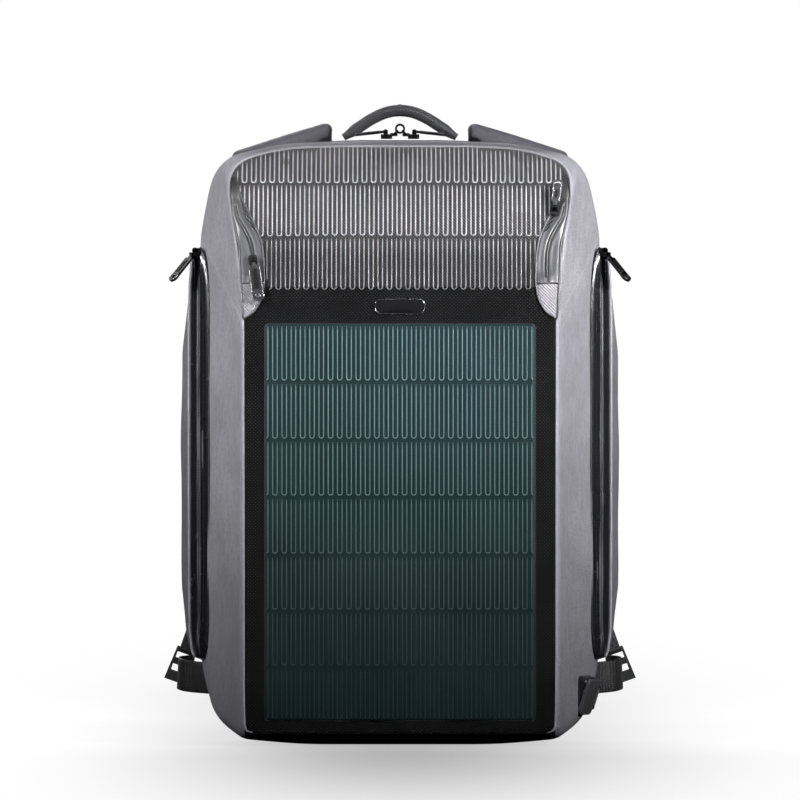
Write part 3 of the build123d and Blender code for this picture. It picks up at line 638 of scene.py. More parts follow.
def black_metal(name="black_nickel", base=(0.014, 0.014, 0.015), rough=0.24):
    n = Net(name, rough=rough, metal=1.0, spec=0.5, coat=0.2, coat_rough=0.1)
    s = n.noise(200, 3, 0.6, stretch=(1, 1, 6))
    c = n.mix(n.ramp(s, 0.3, 0.7), shade(base, 0.8), shade(base, 1.3))
    # painted highlight: sharp outward edges of the metal are mixed towards light grey
    c = n.mix(painted_edge_highlight(n, 0.035), c, (0.25, 0.25, 0.26))
    n.colour(c)
    n.rough(n.ramp(s, 0.3, 0.7, rough + 0.1, rough - 0.04))
    n.bump(s, 0.00003)
    return n.m


line_silver, solar_film, solar_line = silver_line(), film(), film_line()
# zip_coated carries painted shade from z 0.385 m upwards (top=), on the corner pockets' tops and the roof's zip tape
zip_coated = coated("coated_zip_tape", srgb(62, 62, 66), 0.4, coat=0.06, top=(0.385, 0.435))
zip_gloss = coated("coated_zip_gloss", (0.006, 0.006, 0.007), 0.24, 300, 0.0001, 0.45)
patch_twill = twill_material("carbon_patch", srgb(112, 110, 116), 0.0024, contrast=0.7, rough=0.34, sheen=0.1, bump=0.0003, cross=False, spec=0.6)
webbing = ribbed("webbing", (0.0045, 0.0045, 0.005), 0.0026, 0.0016)
webbing_obj = ribbed("webbing_anchor", (0.0045, 0.0045, 0.005), 0.0026, 0.0016, obj=True)
handle_weave = diamond_material("handle_weave", srgb(30, 30, 32), srgb(92, 92, 96), 0.0026, rough=0.6, bump=0.0005, dots=0.85, floor_=0.3)
thread = ribbed("thread", srgb(118, 118, 124), 0.0008, 0.0008, rough=0.5, obj=True)
thread_dark = ribbed("thread_dark", srgb(52, 52, 56), 0.0008, 0.0008, rough=0.5, obj=True)
mesh_pad = spacer()
acetal = moulded("acetal_black", (0.008, 0.008, 0.009), 0.38)
gloss_black = moulded("gloss_black_plastic", (0.004, 0.004, 0.0045), 0.08, spec=0.6, coat=0.6)
badge_rim = moulded("badge_rim", (0.30, 0.30, 0.31), 0.2, metal=1.0)
usb_rubber = moulded("usb_rubber", srgb(58, 58, 60), 0.5, 900, 0.00005)
usb_bezel = moulded("usb_bezel", (0.006, 0.006, 0.007), 0.3)
contact_steel = black_metal("contact_steel", (0.5, 0.5, 0.5), 0.25)
inlay = moulded("pull_inlay", (0.002, 0.002, 0.002), 0.6, 700, 0.00005, spec=0.15)
cable_jacket = moulded("cable_jacket", (0.012, 0.012, 0.013), 0.5)
black_nickel = black_metal()
bright_edge = black_metal("pull_edge", (0.16, 0.16, 0.17), 0.25)
cell_mat = moulded("solar_cell", (0.006, 0.012, 0.03), 0.15, coat=0.5)
backing = moulded("backing_sheet", (0.01, 0.01, 0.011), 0.5)


# ------------------------------------------------------------------ the bag's skin
OUT = 1.5                                                   # the cloth's outer face above the wall


class Patch:
    """Points in mm, faces and UVs of one cloth surface before it gets its thickness."""

    def __init__(self, g, uv=None, wrap=False, flip=False):
        r, c = g.shape[:2]
        self.v = g.reshape(-1, 3).copy()
        self.uv = (grid_uv(g) if uv is None else uv).reshape(-1, 2).copy()
        self.f = grid_faces(r, c, 0, flip, wrap_r=wrap)


def bm_of(p):
    bm = bmesh.new()
    lay = bm.verts.layers.float_vector.new("uvv")
    vs = []
    for q, u in zip(p.v, p.uv):
        x = bm.verts.new(q)
        x[lay] = (u[0], u[1], 0)
        vs.append(x)
    for f in p.f:
        try:
            bm.faces.new([vs[i] for i in f])
        except ValueError:
            pass
    return bm


def cloth(name, bm, thick, mat, inner, fn=None, keep=None, pick=None, mats=None, level_n=None):
    """Solid cloth from an open surface: outer face, lining face offset inwards, and closed rims."""
    bm = bm.copy()
    lay = bm.verts.layers.float_vector["uvv"]
    if keep:
        bmesh.ops.delete(bm, geom=[f for f in bm.faces if not keep(f.calc_center_median())], context="FACES")
    bmesh.ops.remove_doubles(bm, verts=bm.verts, dist=0.01)
    bm.normal_update()
    P = np.array([v.co[:] for v in bm.verts])
    n = level_n(P) if level_n else np.array([v.normal[:] for v in bm.verts])
    k = len(P)
    bm.verts.index_update()
    uvs = np.array([v[lay][:2] for v in bm.verts])
    faces, fm = [], []
    outer = [[v.index for v in f.verts] for f in bm.faces]
    # faces follow the outward normals
    for f, idx in zip(bm.faces, outer):
        if Vector(n[idx].mean(0)).dot(f.normal) < 0:
            idx.reverse()
    for f, idx in zip(bm.faces, outer):
        faces.append(idx)
        fm.append(pick(f.calc_center_median()) if pick else 0)
    ni = 1 if not mats else len(mats)
    for idx in outer:
        faces.append([i + k for i in reversed(idx)])
        fm.append(ni)
    edges = {}
    for idx, m in zip(outer, fm[:len(outer)]):
        for a, b in zip(idx, idx[1:] + idx[:1]):
            edges[(a, b)] = m
    for (a, b), m in edges.items():
        if (b, a) not in edges:
            faces.append([b, a, a + k, b + k])
            fm.append(m)
    inn = P - n * thick
    ob = mesh(name, np.concatenate([P, inn]), faces, np.concatenate([uvs, uvs]), None, True, fm, (mats or [mat]) + [inner])
    bm.free()
    rim = {tuple(sorted(x)) for x in edges if (x[1], x[0]) not in edges}
    rim |= {(a + k, b + k) for a, b in rim}
    at = ob.data.attributes.new("sharp_edge", "BOOLEAN", "EDGE")
    at.data.foreach_set("value", [tuple(sorted(e.vertices[:])) in rim for e in ob.data.edges])
    return ob


def grad(p, fn=F, e=0.4):
    g = np.stack([fn(p + np.array(d) * e) - fn(p - np.array(d) * e) for d in ((1, 0, 0), (0, 1, 0), (0, 0, 1))], 1)
    return g / np.maximum(np.linalg.norm(g, axis=1), 1e-9)[:, None]


def smooth_grad(p):
    """Outward normals of a rounder copy of the bag, for offsetting cloth inwards without folds."""
    return grad(p, lambda q: F(q, 14.0), 3.0)


def settle(p, level, fn=F, n=4):
    shp = p.shape
    p = p.reshape(-1, 3).copy()
    for _ in range(n):
        p -= grad(p, fn) * (fn(p) - level)[:, None]
    return p.reshape(shp)


# front profile: y of the front's outer face at a height, and its arc length
prof = hit(np.array([[0, -20, 200.0]] * 400), np.stack([np.zeros(400), -np.cos(np.linspace(-1.13, 1.62, 400)), np.sin(np.linspace(-1.13, 1.62, 400))], 1),
           OUT, lambda p: sd(DS, p[:, 1], p[:, 2]), 400)
prof = prof[(prof[:, 2] > 9.2) & (prof[:, 1] < -29.9)]
prof = resample(prof, 420)
PL = np.concatenate([[0], np.cumsum(np.linalg.norm(np.diff(prof, axis=0), axis=1))])
pt = np.gradient(prof, axis=0)
pt /= np.linalg.norm(pt, axis=1)[:, None]
pn = np.stack([np.zeros(len(pt)), -pt[:, 2], pt[:, 1]], 1)


def yf(z):
    return np.interp(z, prof[:, 2], prof[:, 1])


def sf(z):
    z = np.asarray(z, float)
    return np.interp(z, prof[:, 2], PL) + np.minimum(z - prof[0, 2], 0.0)


# silhouette and the crease that the front face ends on, matched along the right-hand half
SIL = resample(np.concatenate([DF[0], DF[0][:1]]), 2401)[:-1]
half = SIL[SIL[:, 0] >= 0]
half = half[np.argsort(np.arctan2(half[:, 1] - 231, half[:, 0]))]
half = np.concatenate([[[0, 0]], half[half[:, 0] > 0.01], [[0, 463]]])
HL = np.concatenate([[0], np.cumsum(np.linalg.norm(np.diff(half, axis=0), axis=1))])
PAIRS = [((0, 0), (0, 9)), ((70, 0), (70, 9)), ((112, 3), (113.5, 9.2)), ((124, 8.5), (117.6, 11)), ((133, 15), (118.4, 18)), ((143, 30), (118.8, 34)), ((151, 62), (119, 62)),
         ((153, 180), (119.2, 180)), ((153, 326), (119.6, 326)), ((153, 358), (122, 358)), ((152.5, 386), (126, 386)), ((149.5, 408), (129.6, 406)), ((145, 424), (131, 421)),
         ((139.5, 436), (129.8, 434)), ((132, 444.5), (125.5, 442)), ((122, 449.5), (118, 447.6)), ((105, 454.8), (103, 452.8)), ((85, 458.4), (84, 455.6)), ((55, 461.2), (55, 457)), ((30, 462.5), (30, 457.6)), ((0, 463), (0, 457.8))]
KS = [HL[np.argmin(np.linalg.norm(half - np.array(a), axis=1))] for a, _ in PAIRS]
KS[0], KS[-1] = 0.0, HL[-1]


def fine_interp(x, xp, fp):
    fine = np.linspace(xp[0], xp[-1], 2000)
    y = np.interp(fine, xp, fp)
    w = 31
    yy = np.concatenate([2 * y[0] - y[w:0:-1], y, 2 * y[-1] - y[-2:-w - 2:-1]])
    ker = np.hanning(2 * w + 1)
    y = np.convolve(yy, ker / ker.sum(), "valid")
    return np.interp(x, fine, y)


def crease(s):
    """Crease point (x, y, z) on the skin for arc length s along the right half."""
    x, z = fine_interp(s, KS, [b[0] for _, b in PAIRS]), fine_interp(s, KS, [b[1] for _, b in PAIRS])
    y = yf(np.minimum(z, 457.8))
    return settle(np.stack([x, y, z], 1), OUT - 0.3)


NT = 170
s_half = np.linspace(0, HL[-1], NT)
sil_half = np.stack([np.interp(s_half, HL, half[:, 0]), np.interp(s_half, HL, half[:, 1])], 1)
tan = np.gradient(sil_half, axis=0)
tan /= np.linalg.norm(tan, axis=1)[:, None]
nor_half = np.stack([tan[:, 1], -tan[:, 0]], 1)
nor_half[0], nor_half[-1] = (0, -1), (0, 1)
cre_half = crease(s_half)


def mirror_ring(a):
    """Right half rows followed by the mirrored left half rows, without the two shared rows."""
    b = a[::-1].copy()
    b[..., 0] *= -1
    return np.concatenate([a, b[1:-1]])


NW = 46
REAR_Y = 59.5
w = np.linspace(0, 1, NW)
ring = np.zeros((NT, NW, 3))
for j in range(NW):
    k = w[j] ** 1.12
    y = cre_half[:, 1] * (1 - k) + REAR_Y * k
    inset = 60.0
    o = np.stack([sil_half[:, 0] - nor_half[:, 0] * inset, y, sil_half[:, 1] - nor_half[:, 1] * inset], 1)
    d = np.stack([nor_half[:, 0], np.zeros(NT), nor_half[:, 1]], 1)
    ring[:, j] = hit(o, d, OUT, far=90)
off = cre_half - ring[:, 0]
fade = (1 - np.clip(np.linspace(0, 1, NW) * 2.2, 0, 1)) ** 2
ring += off[:, None, :] * fade[None, :, None]
ring[:, 1:] = settle(ring[:, 1:], OUT)
ring[:, 0] = cre_half
# soft swell and slow unevenness of the padded side
nn = grad(ring.reshape(-1, 3), lambda q: F(q, 14.0), 2.0).reshape(ring.shape)
edge = np.sin(np.pi * np.clip(w, 0, 1)) ** 0.6
swell = 1.1 * edge[None, :] * sstep(30, 90, ring[:, :, 2]) + 0.9 * soft(ring, 0.017, 3.0) * edge[None, :] * sstep(12, 60, ring[:, :, 2])
swell *= 1 - 0.85 * sstep(446, 458, ring[:, :, 2])
yy = ring[:, :, 1]
channel = sstep(10, 15, yy) * (1 - sstep(35, 40, yy)) * sstep(412, 422, ring[:, :, 2])
swell = swell * (1 - channel) - 1.5 * channel
ring += nn * swell[..., None]
ring[0, :, 0] = 0
ring[-1, :, 0] = 0
full = mirror_ring(ring)
# the soft form is a little different on each side
full += (grad(full.reshape(-1, 3), lambda q: F(q, 14.0), 2.0).reshape(full.shape)
         * (0.45 * soft(full, 0.021, 11.0) * edge[None, :] * sstep(12, 60, full[:, :, 2]) * (1 - sstep(405, 425, full[:, :, 2])))[..., None])
full[..., 2] = np.maximum(full[..., 2], 0.05)
ruv = np.zeros(full.shape[:2] + (2,))
ruv[:, 1:, 0] = np.cumsum(np.linalg.norm(np.diff(full, axis=1), axis=2), axis=1)
mid_row = full[:, NW // 2]
ruv[:, :, 1] = np.concatenate([[0], np.cumsum(np.linalg.norm(np.diff(mid_row, axis=0), axis=1))])[:, None]

P_RING = Patch(full, ruv, wrap=True)
bm = bm_of(P_RING)
SLANT_N = Vector((0, -0.62225, 0.78282))
SLANT_P = Vector((0, -92, 325))
allg = lambda: bm.verts[:] + bm.edges[:] + bm.faces[:]
bmesh.ops.bisect_plane(bm, geom=allg(), plane_co=SLANT_P, plane_no=SLANT_N, dist=0.001)
bmesh.ops.bisect_plane(bm, geom=allg(), plane_co=(0, 25, 0), plane_no=(0, 1, 0), dist=0.001)
for sx in (-1, 1):
    bmesh.ops.bisect_plane(bm, geom=allg(), plane_co=(sx * 118.0, 0, 0), plane_no=(1, 0, 0), dist=0.001)
in_flap = lambda c: (c - SLANT_P).dot(SLANT_N) > 0 and c.y < 25
in_base = lambda c: abs(c.x) < 118.0 and c.z < 60
side_cloth = cloth("side_cloth", bm, 4.2, grey_twill, lining_cloth, keep=lambda c: not in_flap(c) and not in_base(c), level_n=smooth_grad)
flap_gusset = cloth("flap_gusset_cloth", bm, 4.2, grey_twill, lining_cloth, keep=in_flap, level_n=smooth_grad)
base_cloth = cloth("base_cloth", bm, 4.2, base_weave, lining_cloth, keep=in_base, level_n=smooth_grad)
bm.free()

# front: one cloth from the bottom edge over the two bends to the top piping
def front_disp(x, z):
    """How far the front's cloth stands off its profile, in mm."""
    x, z = np.asarray(x, float), np.asarray(z, float)
    up = sstep(345, 372, z) * (1 - sstep(446, 457, z))
    d = 2.3 * np.sin(np.clip((z - 345) / 86, 0, 1) * math.pi) ** 1.2 * np.cos(np.clip(x / 112, -1, 1) * math.pi / 2) ** 0.7 + 0.4 * up * np.cos(np.clip(x / 125, -1, 1) * math.pi / 2) ** 0.7
    d = d + 0.5 * up * np.sin(x * 0.045 + 0.7) * np.sin(z * 0.06)
    for sx, hgt in ((-1, 0.9), (1, 1.3)):
        line = sx * (98.5 + (z - 335) * 0.03 + 4.0 * sstep(352, 385, z))
        d = d + hgt * np.exp(-((x - line) / 2.6) ** 2) * sstep(333, 343, z) * (1 - sstep(362, 384, z))
        d = d - 0.8 * np.exp(-((x - line + sx * 6) / 3.5) ** 2) * sstep(338, 348, z) * (1 - sstep(360, 380, z))
    return d


def on_front(x, z, lift=0.0):
    """Points on the front's cloth at (x, z), lifted by lift mm."""
    x, z = np.broadcast_arrays(np.asarray(x, float), np.asarray(z, float))
    s = sf(z)
    n = np.stack([np.interp(s, PL, pn[:, i]) for i in range(3)], -1)
    p = np.stack([x, yf(z), z], -1)
    return p + n * (front_disp(x, z) + lift)[..., None]


i0 = int(np.argmax((cre_half[:, 0] > 113) & (cre_half[:, 2] > 9.3)))
rows = cre_half[i0:-3]
xs = np.sin(np.linspace(-math.pi / 2, math.pi / 2, 81))
fg = np.zeros((len(rows) + 1, 81, 3))
for i, c in enumerate(rows):
    x = xs * c[0]
    p = on_front(x, c[2])
    b = np.clip(1 - (c[0] - abs(x)) / 7.0, 0, 1) ** 2.2
    tgt = np.stack([x, np.full(81, c[1]), np.full(81, c[2])], 1)
    fg[i + 1] = p * (1 - b[:, None]) + tgt * b[:, None]
fg[0] = fg[1] + np.array([0, 0.4, -1.4])
fuv = np.stack([fg[..., 0], np.repeat(sf(fg[:, 40, 2])[:, None], 81, 1)], 2)
bm = bm_of(Patch(fg, fuv))
front_n = lambda P: np.stack([np.interp(sf(P[:, 2]), PL, pn[:, i]) for i in range(3)], 1)
front_cloth = cloth("front_cloth", bm, 4.0, None, lining_cloth, pick=lambda c: 1 if c.z > 347.4 else 0, mats=[black_weave, pattern_weave], level_n=front_n)
bm.free()

# back: from the rear piping over the rear bends to the flat back
NB = 26
bring = full[:, -1]
bgrid = np.zeros((len(full), NB, 3))
for j in range(NB):
    k = (j / (NB - 1))
    tgt = np.stack([bring[:, 0] * (1 - k ** 1.3), np.interp(k, [0, 0.12, 0.3, 1], [REAR_Y, 76, 80, 80]) * np.ones(len(bring)), 231 + (bring[:, 2] - 231) * (1 - k ** 1.3)], 1)
    o = np.array([[0, 20.0, 231.0]]) * np.ones((len(bring), 1))
    o[:, 0], o[:, 2] = bring[:, 0] * 0.72 * (1 - k), 231 + (bring[:, 2] - 231) * 0.72 * (1 - k)
    bgrid[:, j] = hit(o, tgt - o, OUT, far=300)
bgrid[:, 0] = bring
bgrid[:, 1:-1] = settle(bgrid[:, 1:-1], OUT)
bgrid[:, -1] = bgrid[:, -1].mean(0)
bgrid[..., 2] = np.maximum(bgrid[..., 2], 0.05)
buv = np.stack([bgrid[..., 0], bgrid[..., 2]], 2)
bm = bm_of(Patch(bgrid, buv, wrap=True))
back_cloth = cloth("back_cloth", bm, 4.2, grey_twill, lining_cloth, level_n=smooth_grad)
bm.free()

# piping in the creases
loop_front = mirror_ring(cre_half)
pipe_n = grad(loop_front, lambda q: F(q, 14.0), 2.0)


def roll(a, keep):
    """The longest run of a closed loop that satisfies keep, in order."""
    m = keep(a)
    if m.all():
        return a, True
    start = int(np.argmax(~m))
    a, m = np.roll(a, -start, 0), np.roll(m, -start)
    idx = np.where(m)[0]
    return a[idx[0]:idx[-1] + 1], False


def pipe(name, pts, r, mat_, lift=0.0, closed=False, n=None, ry=None, per=3.0):
    L = np.linalg.norm(np.diff(pts, axis=0), axis=1).sum()
    q = resample(np.concatenate([pts, pts[:1]]) if closed else pts, max(int(L / per), 8))
    if closed:
        q = q[:-1]
    nrm = grad(q, lambda z: F(z, 14.0), 2.0)
    q = q + nrm * lift
    return sweep(name, q, circle(r, 8, ry), mat_, up=nrm, closed=closed)


slant = lambda a: (a - np.array([0, -92.0, 325.0])) @ np.array([0, -0.62225, 0.78282])
low_pipe = roll(loop_front, lambda a: slant(a) < 0.0)[0]
top_pipe = roll(loop_front, lambda a: slant(a) > 0.4)[0]
side_run = cre_half[(slant(cre_half) < 0) & (cre_half[:, 2] > 10.2) & (cre_half[:, 0] > 100)]
front_piping_low = join([pipe("x", side_run * np.array([q, 1, 1]), 0.85, grey_light, 0.1) for q in (1, -1)], "front_piping_lower")
front_piping_top = pipe("front_piping_upper", top_pipe, 1.05, grey_light, 0.25, per=2.0)
rear_pipe = pipe("rear_piping_cord", np.concatenate([full[:, -1, :2], np.maximum(full[:, -1, 2:], 2.1)], 1), 1.7, grey_light, 0.3, closed=True, per=3.0)


def stitches(name, path, nrm, mat_, pitch=3.2, length=2.0, r=0.22, lift=0.12):
    """Short raised stitches along a path."""
    seg = np.linalg.norm(np.diff(path, axis=0), axis=1)
    L = np.concatenate([[0], np.cumsum(seg)])
    cnt = int(L[-1] / pitch)
    verts, faces = [], []
    ring_ = 6
    for k in range(cnt):
        a = k * pitch
        ss = np.linspace(a, a + length, 4)
        p = np.stack([np.interp(ss, L, path[:, i]) for i in range(3)], 1)
        n = np.stack([np.interp(ss, L, nrm[:, i]) for i in range(3)], 1)
        t = (p[-1] - p[0]) / max(np.linalg.norm(p[-1] - p[0]), 1e-6)
        s = np.cross(t, n[1])
        base = len(verts)
        for q, h in enumerate((0.15, 1.0, 1.0, 0.15)):
            for a_ in range(ring_):
                an = 2 * math.pi * a_ / ring_
                verts.append(p[q] + s * math.cos(an) * r * (0.5 + 0.5 * h) + n[q] * (math.sin(an) * r * (0.4 + 0.6 * h) + lift * h))
        for q in range(3):
            for a_ in range(ring_):
                b_ = (a_ + 1) % ring_
                faces.append((base + q * ring_ + a_, base + (q + 1) * ring_ + a_, base + (q + 1) * ring_ + b_, base + q * ring_ + b_))
        faces.append([base + a_ for a_ in range(ring_)])
        faces.append([base + 3 * ring_ + a_ for a_ in range(ring_)][::-1])
    return mesh(name, verts, faces, None, mat_)


# row of stitches just outside the lower crease, on the side cloth
def side_row(col_mm, keep):
    """A line on the side cloth a given distance behind the crease."""
    out = np.zeros((len(full), 3))
    for i in range(len(full)):
        out[i] = [np.interp(col_mm, ruv[i, :, 0], full[i, :, k]) for k in range(3)]
    return roll(out, keep)[0]


row = np.array([[np.interp(2.6, ruv[i, :, 0], full[i, :, k]) for k in range(3)] for i in range(NT)])
row = row[(slant(row) < 0) & (row[:, 2] > 12) & (row[:, 0] > 100)]
lows = []
for q in (1, -1):
    r_ = row * np.array([q, 1, 1])
    lows.append(stitches("x", r_, grad(r_, lambda z: F(z, 14.0), 2.0), thread, 2.4, 1.5, 0.2))
crease_stitch_low = join(lows, "crease_stitches_lower")
row = side_row(3.2, lambda a: slant(a) > 0.6)
crease_stitch_top = stitches("crease_stitches_upper", row, grad(row, lambda q: F(q, 14.0), 2.0), thread, 2.6, 1.6, 0.2)


# ------------------------------------------------------------------ hairpin lines
def hairpins(name, rows_, mat_, place, half_w=0.5, height=0.4, pitch=7.03, leg=3.5, inside=None, open_=True):
    """Rows of U-shaped ridges. rows_: (first centre, z top, z bottom); place(x, z, lift) gives points."""
    verts, faces = [], []
    for c0, zt, zb in rows_:
        c = c0
        while c < 125:
            r = leg / 2
            pts = [(c - r, z) for z in np.arange(zt, zb + r, -3.2)] + [(c - r, zb + r)]
            pts += [(c - r * math.cos(a), zb + r - r * math.sin(a)) for a in np.linspace(0, math.pi, 9)[1:-1]]
            pts += [(c + r, zb + r)] + [(c + r, z) for z in np.arange(zt, zb + r, -3.2)][::-1]
            pts = np.array(pts)
            ok = np.array([inside(x, z) for x, z in pts]) if inside else np.ones(len(pts), bool)
            runs, cur = [], []
            for q, o in zip(pts, ok):
                if o:
                    cur.append(q)
                else:
                    if len(cur) > 2:
                        runs.append(np.array(cur))
                    cur = []
            if len(cur) > 2:
                runs.append(np.array(cur))
            for q in runs:
                t = np.gradient(q, axis=0)
                t /= np.maximum(np.linalg.norm(t, axis=1), 1e-9)[:, None]
                s = np.stack([-t[:, 1], t[:, 0]], 1)
                base = len(verts)
                prof_ = ((-1.0, -0.15), (-0.62, 0.72), (0.0, 1.0), (0.62, 0.72), (1.0, -0.15))
                taper = np.ones(len(q))
                taper[0] = taper[-1] = 0.35
                for off_, hh in prof_:
                    xy = q + s * (off_ * half_w * taper[:, None])
                    pts3 = place(xy[:, 0], xy[:, 1], hh * height * taper)
                    verts.extend(pts3)
                m = len(q)
                for a_ in range(4):
                    for i in range(m - 1):
                        i_a, i_b = base + a_ * m + i, base + (a_ + 1) * m + i
                        faces.append((i_a, i_b, i_b + 1, i_a + 1))
                for i in range(m - 1):
                    faces.append((base + i, base + i + 1, base + 4 * m + i + 1, base + 4 * m + i))
                faces.append([base + a_ * m for a_ in range(5)])
                faces.append([base + a_ * m + m - 1 for a_ in range(5)][::-1])
            c += pitch
    return mesh(name, verts, faces, None, mat_)


def in_upper(x, z):
    side = np.interp(z, [340, 345, 352, 366, 386, 400, 413, 433, 446, 452, 455, 457], [97, 99, 101.5, 103.6, 106.2, 112.5, 120.0, 127.5, 119, 104, 90, 55])
    return abs(x) < side


pattern_lines = hairpins("pattern_lines", [(-90.4 - 7.03 * 5, 456.6, 428.6), (-91.9 - 7.03 * 5, 426.2, 387.6), (-92.4 - 7.03 * 2, 385.0, 347.2)], line_silver,
                         lambda x, z, l: on_front(x, z, l), 0.44, 0.42, inside=in_upper)

# ------------------------------------------------------------------ solar panel
FILM_Y = -93.4
film_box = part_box("solar_cover_film")
rowz = [(746 - p) * 0.76 for p in (324, 382, 440, 497, 555, 611, 667, 721)]
W2, Z0, Z1 = 103.0, 19.0, 321.0


def film_panel():
    """The bonded film: rounded corners, rolled edge, shallow grooves between its cell rows."""
    nx, nz = 60, 151
    g = np.zeros((nz, nx, 3))
    for i, z in enumerate(np.linspace(Z0, Z1, nz)):
        xs_ = np.sin(np.linspace(-math.pi / 2, math.pi / 2, nx)) * W2
        cut = max(3.0 - (z - Z0), 3.0 - (Z1 - z), 0.0)
        xs_ = np.clip(xs_, -W2 + 3 - math.sqrt(max(9 - cut * cut, 0)), W2 - 3 + math.sqrt(max(9 - cut * cut, 0)))
        e = np.minimum(np.minimum(W2 - abs(xs_), z - Z0), Z1 - z)
        y = np.full(nx, FILM_Y) + 1.3 * (1 - sstep(-0.2, 1.8, e))
        for b in rowz[1:-1]:
            y += 0.35 * np.exp(-((z - b) / 0.9) ** 2)
        g[i, :, 0], g[i, :, 1], g[i, :, 2] = xs_, y + 0.12 * np.sin(xs_ * 0.09) * np.sin(z * 0.05), z
    return g


fgp = film_panel()
film_panel_ob = sheet_shell("solar_film_panel", fgp, 0.9, solar_film, np.stack([fgp[..., 0], fgp[..., 2]], 2), outward=(0, -1, 0))


def on_film(x, z, lift):
    p = np.stack([x, FILM_Y + 0.12 * np.sin(x * 0.09) * np.sin(z * 0.05) - lift, z], -1)
    return p


film_rows = [(-95.0 - 7.03, rowz[i] - 1.6, rowz[i + 1] + 1.5) for i in range(7)]
film_lines = hairpins("solar_film_lines", film_rows, solar_line, on_film, 0.40, 0.30, inside=lambda x, z: abs(x) < W2 - 1.4 and Z0 + 2 < z < Z1 - 1.0)


# ------------------------------------------------------------------ corner zip pockets (leaf shape on the flap)
def fill_outline(name, inner, outer_, place, mat_, thick=1.2, nu=14, nv=40, crown=0.0, lips=None, grooves=(), uvs=True):
    """A panel between two edge curves [(x, z)] on the front; place(x, z, lift)."""
    a, b = smooth_path(np.array(inner), nv), smooth_path(np.array(outer_), nv)
    g = np.zeros((nv, nu, 3))
    for j in range(nu):
        k = j / (nu - 1)
        q = a * (1 - k) + b * k
        lift = crown * math.sin(math.pi * k) ** 0.7 + sum(h * math.exp(-((k - c) / w_) ** 2) for c, w_, h in grooves)
        g[:, j] = place(q[:, 0], q[:, 1], lift)
    return g


